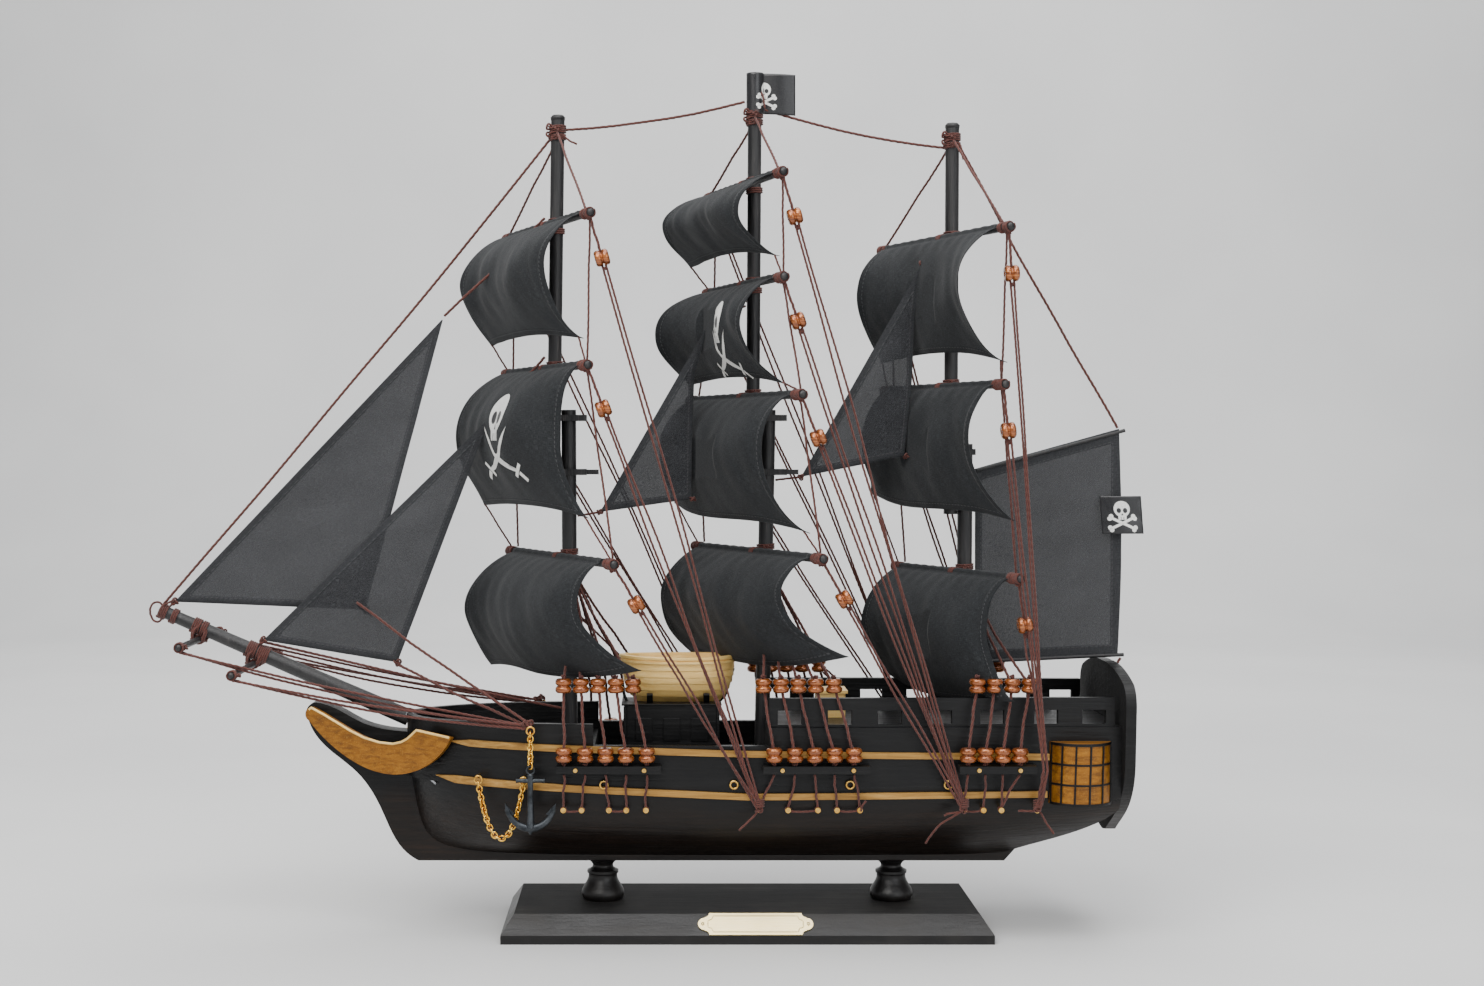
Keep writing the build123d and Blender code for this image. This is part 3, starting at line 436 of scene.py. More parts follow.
class Bag:
    """Gathers several tubes or solids into one mesh."""

    def __init__(self):
        self.verts, self.faces, self.lay = [], [], []

    def ring_tube(self, rings, close=False, groove_shades=None):
        """Joins rings of points with quads and caps both ends."""
        base, count, n = len(self.verts), len(rings), len(rings[0])
        for ring in rings:
            self.verts.extend(ring)
        # Each point carries a painted-shade value for the cord material; pieces without one get an even 0.5.
        self.lay.extend(groove_shades if groove_shades is not None else [0.5] * (count * n))
        for i in range(count if close else count - 1):
            a, b = base + i * n, base + ((i + 1) % count) * n
            self.faces.extend((a + k, a + (k + 1) % n, b + (k + 1) % n, b + k) for k in range(n))
        if not close:
            self.faces.append(tuple(base + k for k in reversed(range(n))))
            self.faces.append(tuple(base + (count - 1) * n + k for k in range(n)))

    def tube(self, points, radius, n=10, close=False):
        """A plain round tube along points; radius is a number or one for each point."""
        radii = radius if hasattr(radius, "__len__") else [radius] * len(points)
        along = zip(points, carried(points, close), radii)
        self.ring_tube([circle(p, side, up, r, n) for p, (side, up), r in along], close)

    def rope(self, points, radius=CORD_R, step=0.9, pitch=3.4, seed=0):
        """Three-strand cord along points: lobed rings that turn with the lay, each point with a painted-shade
        value that is low in the grooves between strands.
        """
        path = sampled(points, step * (1))
        n, turn, rings, groove_shades = 9, seed * 1.7, [], []
        last = path[0]
        for p, (side, up) in zip(path, carried(path, False)):
            turn += tau * (p - last).length / pitch / 3
            last = p
            ring = []
            for k in range(n):
                angle = tau * k / n
                lobe = cos(3 * (angle - turn))
                r = radius * (0.93 + 0.15 * lobe)
                ring.append(p + (side * cos(angle) + up * sin(angle)) * r)
                # Painted shade: 0 in a groove between strands, 1 on a strand's crown.
                groove_shades.append(0.5 + 0.5 * lobe)
            rings.append(ring)
        self.ring_tube(rings, groove_shades=groove_shades)

    def block(self, centre, size, axes=(X_AXIS, Y_AXIS, UP)):
        """A box of a size along its own three axes."""
        base, centre = len(self.verts), Vector(centre)
        (x_dir, y_dir, z_dir), (sx, sy, sz) = axes, [v / 2 for v in size]
        for k in SIDES:
            for j in SIDES:
                self.verts.extend(centre + x_dir * i * sx + y_dir * j * sy + z_dir * k * sz for i in SIDES)
        self.lay.extend([0.5] * 8)
        for f in ((0, 2, 3, 1), (4, 5, 7, 6), (0, 1, 5, 4), (2, 6, 7, 3), (0, 4, 6, 2), (1, 3, 7, 5)):
            self.faces.append(tuple(base + k for k in f))

    def done(self, name, mat, body="ship", smooth=True, bevel=0.0):
        made = mesh(name, self.verts, self.faces, mat, body, smooth)
        # The "lay" attribute holds the painted shade between cord strands.
        layer = made.data.attributes.new("lay", "FLOAT", "POINT")
        layer.data.foreach_set("value", self.lay)
        if bevel:
            soften(made, bevel)
        return made


def soften(obj, width, segments=2, angle=32):
    """Rounds the sharp edges of a piece."""
    mod = obj.modifiers.new("soft_edges", "BEVEL")
    mod.width = width * MM
    mod.segments = segments
    mod.limit_method = "ANGLE"
    mod.angle_limit = radians(angle)
    mod.harden_normals = True


def thicken(obj, thickness):
    """Gives a sheet its thickness, half on each side."""
    mod = obj.modifiers.new("thickness", "SOLIDIFY")
    mod.thickness = thickness * MM
    mod.offset = 0


def circle(centre, side, up, radius, n):
    return [centre + (side * cos(tau * k / n) + up * sin(tau * k / n)) * radius for k in range(n)]


def sampled(points, step):
    """Points along a polyline at about equal steps."""
    out = [Vector(points[0])]
    for a, b in zip(points, points[1:]):
        a, b = Vector(a), Vector(b)
        count = max(1, ceil((b - a).length / step))
        out.extend(a.lerp(b, (i + 1) / count) for i in range(count))
    return out


def carried(points, close):
    """Two directions across a path at each point, carried along it without twisting."""
    n = len(points)
    out, side = [], None
    for i, p in enumerate(points):
        ahead = points[(i + 1) % n] if close or i + 1 < n else p
        behind = points[i - 1] if close or i > 0 else p
        way = (ahead - behind).normalized()
        if side is None:
            side = way.orthogonal().normalized()
        side = (side - way * side.dot(way)).normalized()
        out.append((side, way.cross(side)))
    return out


def sagged(a, b, sag, wave=0.0, seed=0):
    """A nearly taut line between two points that hangs a little and isn't quite straight."""
    a, b = Vector(a), Vector(b)
    count = max(6, int((b - a).length / 12))
    out = []
    for i in range(count + 1):
        t = i / count
        p = a.lerp(b, t)
        hang = 4 * t * (1 - t)
        n = noise.noise(Vector((t * 3.1 + seed * 7.3, seed * 1.9, 0.4)))
        out.append(p + Vector((wave * n * hang, wave * n * hang * 0.5, -sag * hang)))
    return out


def coil(centre, axis, radius, turns, gap=1.15, count=16):
    """Points of a tight coil round an axis."""
    axis = Vector(axis).normalized()
    side = axis.orthogonal().normalized()
    up = axis.cross(side)
    total = int(turns * count)
    start = Vector(centre) - axis * gap * turns / 2
    return [
        start + axis * gap * i / count + (side * cos(tau * i / count) + up * sin(tau * i / count)) * radius
        for i in range(total + 1)
    ]


def knot(centre, size, seed=0):
    """Points of a small closed overhand knot."""
    c = Vector(centre)
    spin = Matrix.Rotation(seed * 1.3, 3, "X") @ Matrix.Rotation(seed * 2.1, 3, "Z")
    out = []
    for i in range(49):
        t = tau * i / 48
        p = Vector((sin(t) + 2 * sin(2 * t), cos(t) - 2 * cos(2 * t), -1.5 * sin(3 * t))) * (size / 3)
        out.append(c + spin @ p)
    return out


def mast_x(mast, z):
    foot, head, heel, top = MASTS[mast]
    (x0, z0), (x1, z1) = (heel, top) if z > heel[1] + DOUBLING / 2 else (foot, head)
    return x0 + (x1 - x0) * (z - z0) / (z1 - z0)


def mast_radius(mast, z):
    return TOP_R if z > MASTS[mast][2][1] + DOUBLING / 2 else LOWER_R


def yard_axes(name):
    """A yard's middle, then its forward direction and its direction to starboard."""
    mast, z, _, angle = YARDS[name][:4]
    turn = radians(angle)
    forward = Vector((-cos(turn), -sin(turn), 0))
    along = Vector((-sin(turn), cos(turn), 0))
    middle = Vector((mast_x(mast, z), 0, z)) + forward * (mast_radius(mast, z) + YARD_R + GAP)
    return middle, forward, along


def yard_end(name, side, inset=0):
    middle, _, along = yard_axes(name)
    return middle + along * side * (YARDS[name][2] - inset)


# ------------------------------------------------------------------ square sails


def sail_point(name, u, v):
    """A point of a square sail: u from -1 at the port leech to 1, v from 0 at the yard to 1 at the foot."""
    middle, forward, along = yard_axes(name)
    head, foot = YARDS[name][4:6]
    near_aft, near_drop, mid_drop, far_aft, far_drop, near_belly, mid_belly, far_belly = HANGS[name]
    side = (u + 1) / 2
    edge = abs(u)
    clew_drop = near_drop + (far_drop - near_drop) * side
    clew_aft = near_aft * max(0, -u) ** 1.6 + far_aft * max(0, u) ** 1.6
    fall = mid_drop + (clew_drop - mid_drop) * edge ** 2.4
    belly = mid_belly * (1 - u * u) + (near_belly * (1 - side) + far_belly * side) * u * u
    swell = (sin(pi * v ** 0.82) ** 0.85) if 0 < v < 1 else 0.0
    foot_lift = (mid_belly * 0.42 * (1 - u * u) + far_belly * 0.3 * max(0, u) ** 2) * v * v
    half = head + (foot - head) * v
    hollow = 1 - 0.15 * max(0, 4 * v * (1 - v)) ** 0.5 * edge ** 3
    point_out = 1 + 0.05 * v ** 14 * edge ** 8
    seed = sum(map(ord, name)) * 0.37
    spread = 0.25 + 0.75 * sin(pi * min(v, 1))
    fold = noise.noise(Vector((u * 2.3 + seed, v * 1.7, seed))) * 2.2
    fold += noise.noise(Vector((u * 6 + v * 2.5 + seed, v * 2.2 - u, seed + 4))) * 1.1
    crow = sin((edge * 9 - v * 7) * 1.9 + seed) * 0.55 * edge ** 3 * v ** 2
    fold = (fold * spread + crow) * min(1, v * 5)
    gather = sin(u * 31 + seed) * 0.35 * max(0, 1 - v * 6) * min(1, v * 30)
    f = YARD_R + 0.35 + belly * swell + foot_lift - clew_aft * v ** 3.4 + fold + gather
    if edge < 0.5:
        f = max(f, YARD_R + 0.3)
    if mid_belly < 20 and edge < 0.22:
        f = min(f, YARD_R + 0.35 + mid_belly * 0.97)
    a = u * half * hollow * point_out
    return middle + forward * f + along * a - UP * (fall * v)


def grid(points):
    """Faces of a grid of rows."""
    rows, cols = len(points), len(points[0])
    return [
        (r * cols + c, r * cols + c + 1, (r + 1) * cols + c + 1, (r + 1) * cols + c)
        for r in range(rows - 1)
        for c in range(cols - 1)
    ]


def cloth(name, rows, mat, replaced, rims=None):
    """Turns rows of points into one sheet with its cloth millimetres as UV and its distance to the edge."""
    verts = [p for row in rows for p in row]
    made = mesh(name, verts, grid(rows), mat)
    cols = len(rows[0])
    widths = [sum((b - a).length for a, b in zip(row, row[1:])) for row in rows]
    lengths = [sum((rows[r + 1][c] - rows[r][c]).length for r in range(len(rows) - 1)) for c in range(cols)]
    width, length = sum(widths) / len(widths), sum(lengths) / len(lengths)
    flat_uv, rim = [], []
    for r, row in enumerate(rows):
        run = 0.0
        down = length * r / (len(rows) - 1)
        for c, p in enumerate(row):
            if c:
                run += (p - row[c - 1]).length
            flat_uv.append((run - widths[r] / 2, down))
            rim.append(min(run, widths[r] - run, length - down))
    layer = made.data.uv_layers.new(name="cloth")
    for loop in made.data.loops:
        layer.data[loop.index].uv = flat_uv[loop.vertex_index]
    edge = made.data.attributes.new("rim", "FLOAT", "POINT")
    edge.data.foreach_set("value", rims or rim)
    thicken(made, CLOTH_THICK)
    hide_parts(*replaced)
    return made


COLS, ROWS = ((97, 71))
ACROSS = [-1 + 2 * c / (COLS - 1) for c in range(COLS)]
WRAP_STEPS, WRAP_DEGREES = 9, 205
for name in YARDS:
    middle, forward, along = yard_axes(name)
    mast, head = YARDS[name][0], YARDS[name][4]
    rows = []
    for step in range(WRAP_STEPS):
        turn = radians(WRAP_DEGREES - step * WRAP_DEGREES / WRAP_STEPS)
        row = []
        for u in ACROSS:
            r = YARD_R + 0.3 + 0.12 * sin(step * 2.1) + 0.14 * sin(u * 40 + step)
            row.append(middle + forward * r * cos(turn) + UP * r * sin(turn) + along * u * head)
        rows.append(row)
    rows += [[sail_point(name, u, r / (ROWS - 1)) for u in ACROSS] for r in range(ROWS)]
    cloth(f"{name}_sail_cloth", rows, "sail", [f"{name}_sail"])

# ------------------------------------------------------------------ fore-and-aft sails

for name, (y, corners, camber) in STAY_SAILS.items():
    points = [Vector((x, y, z)) for x, z in corners]
    rows, rims = [], []
    n_rows, n_cols = ((70, 52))
    tack, peak, clew = points[0], points[1], points[-1]
    if name == "spanker":
        ups = (-2.6, 2.6, 2.6, -2.6)
        luff_foot, luff_head, leech_head, leech_foot = [p + UP * up for p, up in zip(points, ups)]
    seed = len(name) * 1.3
    for r in range(n_rows):
        t = r / (n_rows - 1)
        row = []
        for c in range(n_cols):
            s = c / (n_cols - 1)
            if name == "spanker":
                high, low = luff_head.lerp(leech_head, s), luff_foot.lerp(leech_foot, s)
                p = high.lerp(low, t)
                p.x += 1.6 * sin(pi * t) * (1 if s > 0.9 else 0) * (s - 0.9) * 10
                inside = sin(pi * s) * sin(pi * t)
            else:
                t_in = 0.006 + 0.994 * t
                luff = peak.lerp(tack, t_in)
                leech_line = points[1:]
                z_want = peak.z + (clew.z - peak.z) * t_in
                for a, b in zip(leech_line, leech_line[1:]):
                    if a.z >= z_want >= b.z or b is leech_line[-1]:
                        k = (z_want - a.z) / (b.z - a.z)
                        leech = a.lerp(b, k)
                        break
                if len(points) > 3 and t_in > 0.05:
                    leech.x -= 0.8
                p = luff.lerp(leech, s)
                inside = sin(pi * s) * sin(pi * min(1, t * 1.05)) * min(1, t * 2.2)
            ripple = noise.noise(Vector((p.x * 0.035 + seed, p.z * 0.05, seed))) * 1.6
            ripple += noise.noise(Vector((p.x * 0.012 - p.z * 0.09, p.z * 0.02, seed + 3))) * 1.0
            p.y += camber * max(0, inside) + ripple * (0.25 + max(0, inside))
            row.append(p)
        rows.append(row)
    outline = points + [points[0]]
    for row in rows:
        for p in row:
            best = 99.0
            for a, b in zip(outline, outline[1:]):
                ab = b - a
                k = max(0, min(1, (p - a).dot(ab) / ab.dot(ab)))
                q = a + ab * k
                best = min(best, hypot(p.x - q.x, p.z - q.z))
            rims.append(best)
    if name == "spanker":
        cloth(f"{name}_cloth", rows, "jib", [name], rims=rims)
    else:
        cloth(f"{name}_cloth", rows, "jib", [name], rims=rims)

# ------------------------------------------------------------------ skull and crossed blades or bones

def oval(cx, cy, rx, ry, n=28):
    return [(cx + rx * cos(tau * i / n), cy + ry * sin(tau * i / n)) for i in range(n)]


def bar(a, b, width):
    """A straight bar between two points as one polygon."""
    (x0, y0), (x1, y1) = a, b
    share = width / 2 / hypot(x1 - x0, y1 - y0)
    nx, ny = -(y1 - y0) * share, (x1 - x0) * share
    return [(x0 + nx, y0 + ny), (x0 - nx, y0 - ny), (x1 - nx, y1 - ny), (x1 + nx, y1 + ny)]


def skull_shapes(with_blades):
    """White and black shapes of the badge, about one unit high, drawn flat: (polygon, is white, layer)."""
    shapes = []
    for s in SIDES:
        if with_blades:
            arc, wide = [], []
            for t in (i / 12 for i in range(13)):
                x, y = s * (-0.44 + 0.86 * t + 0.1 * sin(pi * t)), -0.62 + 0.62 * t - 0.12 * sin(pi * t)
                arc.append((x, y))
                wide.append((x, y + 0.045 * (1 - t ** 3)))
            shapes.append((arc + wide[::-1], True, 0))
            shapes.append((bar((s * -0.52, -0.5), (s * -0.36, -0.68), 0.045), True, 1))
            shapes.append((bar((s * -0.46, -0.62), (s * -0.56, -0.72), 0.06), True, 1))
        else:
            shapes.append((bar((s * -0.4, -0.5), (s * 0.4, -0.12), 0.09), True, 0))
            for end in ((s * -0.42, -0.46), (s * -0.37, -0.54), (s * 0.42, -0.16), (s * 0.37, -0.08)):
                shapes.append((oval(*end, 0.075, 0.075), True, 0))
    shapes.append((oval(0, 0.16, 0.27, 0.27), True, 2))
    shapes.append(([(-0.15, 0.02), (-0.13, -0.2), (0.13, -0.2), (0.15, 0.02)], True, 3))
    for s in SIDES:
        shapes.append((oval(s * 0.105, 0.11, 0.075, 0.085), False, 4))
        shapes.append((bar((s * 0.045, -0.1), (s * 0.045, -0.2), 0.018), False, 4))
    shapes.append(([(0, 0.03), (-0.04, -0.05), (0.04, -0.05)], False, 4))
    return shapes


def badge(name, place, with_blades):
    """Lays the badge on a surface: place(x, y, lift) gives the point. Its dark details have the paper's tone."""
    rings, step = 4, 0.05
    for white, suffix in ((True, "print"), (False, "print_dark")):
        verts, faces = [], []
        for shape, is_white, layer in skull_shapes(with_blades):
            if is_white != white:
                continue
            dense, lift = [], 0.02 + 0.03 * layer
            for (x0, y0), (x1, y1) in zip(shape, shape[1:] + shape[:1]):
                steps = max(1, ceil(hypot(x1 - x0, y1 - y0) / step))
                dense.extend((x0 + (x1 - x0) * i / steps, y0 + (y1 - y0) * i / steps) for i in range(steps))
            n, base = len(dense), len(verts)
            cx, cy = (sum(values) / n for values in zip(*dense))
            for k in range(1, rings + 1):
                for x, y in dense:
                    verts.append(place(cx + (x - cx) * k / rings, cy + (y - cy) * k / rings, lift))
            verts.append(place(cx, cy, lift))
            middle_at = len(verts) - 1
            for i in range(n):
                j = (i + 1) % n
                faces.append((middle_at, base + i, base + j))
                for k in range(rings - 1):
                    a, b = base + k * n, base + (k + 1) * n
                    faces.append((a + i, b + i, b + j, a + j))
        mesh(f"{name}_{suffix}", verts, faces, "ink" if white else "paper")


def sail_badge(name, u_mid, v_mid, width, height):
    """The badge on the port side of a square sail, drawn on the sail's own surface."""
    head, foot = YARDS[name][4:6]
    half = (head + foot) / 2
    fall = HANGS[name][2]

    def place(x, y, lift):
        u = u_mid + x * width / half
        v = v_mid - y * height / fall
        p = sail_point(name, u, v)
        across = sail_point(name, u + 0.01, v) - p
        down = sail_point(name, u, v + 0.01) - p
        out = down.cross(across).normalized()
        _, forward, _ = yard_axes(name)
        if out.dot(forward) < 0:
            out = -out
        return p + out * (0.32 + lift)

    return place


SAIL_BADGES = {"fore_topsail": (-0.1, 0.42, 42, 36), "main_topgallant": (-0.28, 0.5, 26, 32)}
for sail, spot in SAIL_BADGES.items():
    badge(f"{sail}_skull", sail_badge(sail, *spot), True)

# ------------------------------------------------------------------ paper flags

def flag_rows(x0, z0, x1, z1, y0, curl, seed, cols=29, n_rows=21):
    """A small paper flag from its hoist to its fly, waving a little."""
    rows = []
    for r in range(n_rows):
        t = r / (n_rows - 1)
        row = []
        for c in range(cols):
            s = c / (cols - 1)
            bend = curl * sin(pi * s * 0.9) + 0.5 * noise.noise(Vector((s * 2 + seed, t * 2, seed)))
            row.append(Vector((x0 + (x1 - x0) * s + 1.4 * t, y0 + bend, z0 + (z1 - z0) * t)))
        rows.append(row)
    return rows


def paper_flag(name, rows, badge_at, badge_size):
    made = mesh(f"{name}_paper", [p for row in rows for p in row], grid(rows), "paper")
    thicken(made, PAPER_THICK)
    width = sum((b - a).length for a, b in zip(rows[0], rows[0][1:]))
    length = sum((b[0] - a[0]).length for a, b in zip(rows, rows[1:]))
    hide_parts(name)
    last_row, last_col = len(rows) - 1, len(rows[0]) - 1

    def place(x, y, lift):
        c = min(last_col - 0.001, max(0, badge_at[0] * last_col + x * badge_size / width * last_col))
        r = min(last_row - 0.001, max(0, badge_at[1] * last_row - y * badge_size / length * last_row))
        i, j = int(r), int(c)
        a, b = [row[j].lerp(row[j + 1], c - j) for row in rows[i:i + 2]]
        across, down = rows[i][j + 1] - rows[i][j], rows[i + 1][j] - rows[i][j]
        out = down.cross(across).normalized()
        if out.y > 0:
            out = -out
        return a.lerp(b, r - i) + out * (0.2 + lift)

    badge(f"{name}_skull", place, False)


FLAG_TOP, FLAG_FLY = 425.2, 16
WRAP_R = TOP_R + 0.75
main_top = MASTS["main"][3][0]
rows = []
for r in range(21):
    row = []
    for i in range(37):
        run = i / 36 * (WRAP_R * pi + FLAG_FLY)
        fly = run - WRAP_R * pi
        if fly < 0:
            at = (main_top - WRAP_R * cos(run / WRAP_R), -WRAP_R * sin(run / WRAP_R))
        else:
            at = (main_top + WRAP_R + fly, -1.1 * sin(fly / FLAG_FLY * pi * 0.9))
        row.append(Vector((*at, FLAG_TOP - 1.02 * r - 0.05 * max(0, fly))))
    rows.append(row)
paper_flag("masthead_flag", rows, (0.46, 0.5), 13)
paper_flag("stern_flag", flag_rows(177.5, 214, 198, 195.2, -1.2, -1.6, 3), (0.5, 0.47), 15)

# ------------------------------------------------------------------ cords

BRACE_DROP = 22
NAIL_TAILS = (
    (4.6, (-0.8, 0.2, -0.7), 13), (101.6, (-0.9, 0.2, -0.5), 24), (101.8, (-1, 0.1, -0.1), 9),
    (138.4, (0.8, 0.1, -0.6), 13), (53.6, (0.3, 0.1, 1), 6), (136.4, (-0.9, 0.1, 0.1), 8),
)
shrouds, braces, stays, yard_lines, lashings = (Bag() for _ in range(5))


def tie(centre, size, turn, thick=0.8, lay=0):
    """A knot of lashing: turn sets how it lies, and lay where its strands start."""
    lashings.rope(knot(centre, size, turn), CORD_R * thick, seed=lay)


def seize(centre, axis, radius, turns=4, knotted=True, seed=0):
    """Turns of cord round a spar, with a small knot on its outside."""
    lashings.rope(coil(centre, axis, radius + CORD_R * 0.6, turns, 1.0), CORD_R * 0.68, seed=seed)
    if knotted:
        side = Vector(axis).normalized().cross(UP)
        if side.length < 0.2:
            side = Vector((0, -1, 0))
        tie(Vector(centre) + side.normalized() * (radius + 1.1), 1.3, seed, 0.62, seed)


def tail(start, way, length, seed=0):
    """A short loose end of cord that droops and curls."""
    p, d, out, steps = Vector(start), Vector(way).normalized(), [], 8
    for i in range(steps + 1):
        out.append(p.copy())
        n = noise.noise_vector(Vector((i * 0.5, seed * 3.3, 0.7)))
        d = (d + n * 0.35 + Vector((0, 0, -0.06))).normalized()
        p = p + d * length / steps
    lashings.rope(out, CORD_R * 0.75, seed=seed)


serial, deadeye_spots, hanging_spots = 0, [], []
for mast, (lows, highs) in BEADS.items():
    head_x = MASTS[mast][1][0]
    top_z = YARDS[f"{mast}_course"][1] - 8
    for index, (low_x, high_x) in enumerate(zip(lows, highs)):
        for side in SIDES:
            serial += 1
            low = Vector((low_x, side * LOWER_BEAD_Y, LOWER_BEAD_Z))
            high = Vector((high_x, side * UPPER_BEAD_Y, UPPER_BEAD_Z))
            up = (high - low).normalized()
            inside = up * (BEAD_H / 2 - 0.6)
            shrouds.rope(sagged(low + inside, high - inside, 0, 0.9, serial), CORD_R * 1.05, seed=serial)
            top = Vector((mast_x(mast, top_z) + 0.06 * (high_x - head_x), side * (LOWER_R + 1.4), top_z))
            shrouds.rope(sagged(high + (top - high).normalized() * 3, top, 0.5, 1.6, serial), seed=serial)
            nail_x = min(NAIL_X, key=lambda x: abs(x - low_x))
            channel = (low_x, side * (CHANNEL_Y - 1.6), CHANNEL_Z - 0.4)
            nail = (nail_x, side * 47.4, NAIL_Z + 1.0)
            shrouds.rope(sagged(channel, nail, 0, 1.2, serial), CORD_R * 0.85, seed=serial)
            deadeye_spots.extend(((low, up * 0.2 + UP), (high, up * 0.2 + UP)))
            tie(high + UP * 4.2, 1.05, serial, 0.6, serial)
            tie(low - UP * 4.0, 1.0, serial, 0.6, serial)
            if index == 2:
                seize(top, (0.02, 0, 1), 2.6, 3, False, serial)
    seize((mast_x(mast, top_z + 1), 0, top_z + 1), UP, LOWER_R + 0.4, 5, True, serial)

for side in SIDES:
    for index, x in enumerate(NAIL_X):
        turns = coil((x, side * 46.5, NAIL_Z), Y_AXIS, 1.15, 2.2, 0.6, 12)
        lashings.rope(turns, CORD_R * 0.6, seed=index)
    for index, (a, b) in enumerate(zip(NAIL_X, NAIL_X[1:])):
        if b - a < 16 and index % 2 == 0:
            line = sagged((a, side * 46.9, NAIL_Z - 0.5), (b, side * 46.9, NAIL_Z - 0.3), 0.5, 1.2, index)
            lashings.rope(line, CORD_R * 0.75, seed=index)
    for index, (x, (aft, out, up), length) in enumerate(NAIL_TAILS):
        tail((x, side * 48.6, NAIL_Z - 0.4), (aft, out * side, up), length, index + side)


def brace_route(name, side):
    """A brace's start at its yard, the place of its hanging bead and the points that it leads down to."""
    mast = YARDS[name][0]
    end = yard_end(name, side, 2)
    down = [Vector((BRACE_NAIL[mast], side * BRACE_Y, NAIL_Z))]
    if mast == "mizzen":
        x, y, z = MIZZEN_LEAD
        down.insert(0, Vector((x, side * y, z)))
    return end, end + (down[0] - end).normalized() * BRACE_DROP, down


for index, name in enumerate(YARDS):
    for side in SIDES:
        end, hung, down = brace_route(name, side)
        way = (hung - end).normalized()
        seed = index * 2 + (side + 1) // 2
        braces.rope(sagged(end + way * 2.2, hung - way * 2.6, 0, 0.5, seed), seed=seed)
        for shift in (-0.9, 0.9):
            route = [p + Vector((shift, 0, 0)) for p in [hung + way * 3.2] + down]
            for a, b in zip(route, route[1:]):
                braces.rope(sagged(a, b, 0.8, 2.2, seed + shift), CORD_R * 0.8, seed=seed)
        hanging_spots.append((hung, way.cross(Y_AXIS)))
        seize(end, yard_axes(name)[2], YARD_R, 4, False, seed)
        tie(end - UP * 2.6, 1.2, seed, 0.65, seed)
        tie(hung + way * 5.2, 1.1, seed, 0.65, seed)
for x in BRACE_NAIL.values():
    for side in SIDES:
        seize((x, side * (BRACE_Y - 0.4), NAIL_Z + 3.4), (0, 0.15, 1), 1.3, 4, False, x)
        tie((x - 0.6, side * BRACE_Y, NAIL_Z + 0.6), 1.7, x, 0.72)

for mast in MASTS:
    names = [name for name in YARDS if YARDS[name][0] == mast]
    top_z, bare = MASTS[mast][3][1], 14 if mast == "main" else 0
    lift_z = top_z - 8 - bare
    for side in SIDES:
        start = (mast_x(mast, lift_z), side * (TOP_R + 1.2), lift_z)
        tip = yard_end(names[0], side, 7) + UP * (YARD_R + 0.6)
        yard_lines.rope(sagged(start, tip, 0.3, 1.0, side), CORD_R * 0.9)
        for above, below in zip(names, names[1:]):
            back = yard_axes(above)[1] * -2.2
            a = yard_end(above, side, 7) - UP * (YARD_R + 0.6) + back
            b = yard_end(below, side, 7) + UP * (YARD_R + 0.6) + back
            yard_lines.rope(sagged(a, b, 0, 0.8, side), CORD_R * 0.8)
    for name, lower in zip(names, names[1:] + [None]):
        middle, _, along = yard_axes(name)
        z = YARDS[name][1]
        at, radius = Vector((mast_x(mast, z), 0, z)), mast_radius(mast, z) + 0.1
        for step in (-1.2, 0, 1.2):
            seize(middle + along * step, along, YARD_R, 2, False, step)
        seize(at + UP * 2.6, UP, radius, 3, True, len(name))
        seize(at - UP * 2.6, UP, radius, 3, False, len(name))
        for side in SIDES:
            seize(yard_end(name, side, 7), along, YARD_R, 3, False, side)
            if lower:
                clew, held = sail_point(name, side * 0.985, 0.985), yard_end(lower, side, 4)
                lashings.rope(sagged(clew, held + UP * YARD_R, 0, 0.4, side), CORD_R * 0.7)
                seize(held, along, YARD_R, 2, False, side)
    for drop, turns in ((6, 4), (10, 3)):
        z = top_z - drop - bare
        seize((mast_x(mast, z), 0, z), UP, TOP_R + 0.1, turns, True, drop)
        tie((mast_x(mast, z) - 3.4, -2, z + 1), 2.2, drop + 1)
    tail((mast_x(mast, top_z - 9) + 3, -2.5, top_z - 9), (0.7, -0.4, -1), 9, ord(mast[0]))


def aloft(mast, z, reach):
    """A point on a topmast's fore or after side."""
    return (mast_x(mast, z) + reach * (TOP_R + 0.6), 0, z)


tip_x, tip_z = SPRIT_TIP
stay_runs = (
    (aloft("fore", 397, 1), aloft("main", 411, -1.25), 2.4),
    (aloft("main", 407, 1.25), aloft("mizzen", 388, -1), 2.4),
    (aloft("fore", 392, -1), (tip_x + 2, 0, tip_z + 3), 2.0),
    (aloft("mizzen", 388, 1), (186.8, 0, 248), 1.2),
    ((-150, 1.6, 304), (-99.6, 0, 353), 0.5),
    ((-126.4, -1.8, 254.4), (-99.6, 0, 283.5), 0.3),
    ((188.2, 0, 133), (185.2, 0, 125), 0),
    ((-193, -3.6, 161), (ANCHOR_X - 1, -49, CHAIN_TOP + 6), 0.8),
    ((-173, -1.8, 130), (ANCHOR_X - 2, -49, CHAIN_TOP + 5), 0.8),
    ((-240, 0, 141), (-91, -0.6, 108), 0.8),
)
for index, (a, b, sag) in enumerate(stay_runs):
    stays.rope(sagged(a, b, sag, 1.6, index), seed=index)
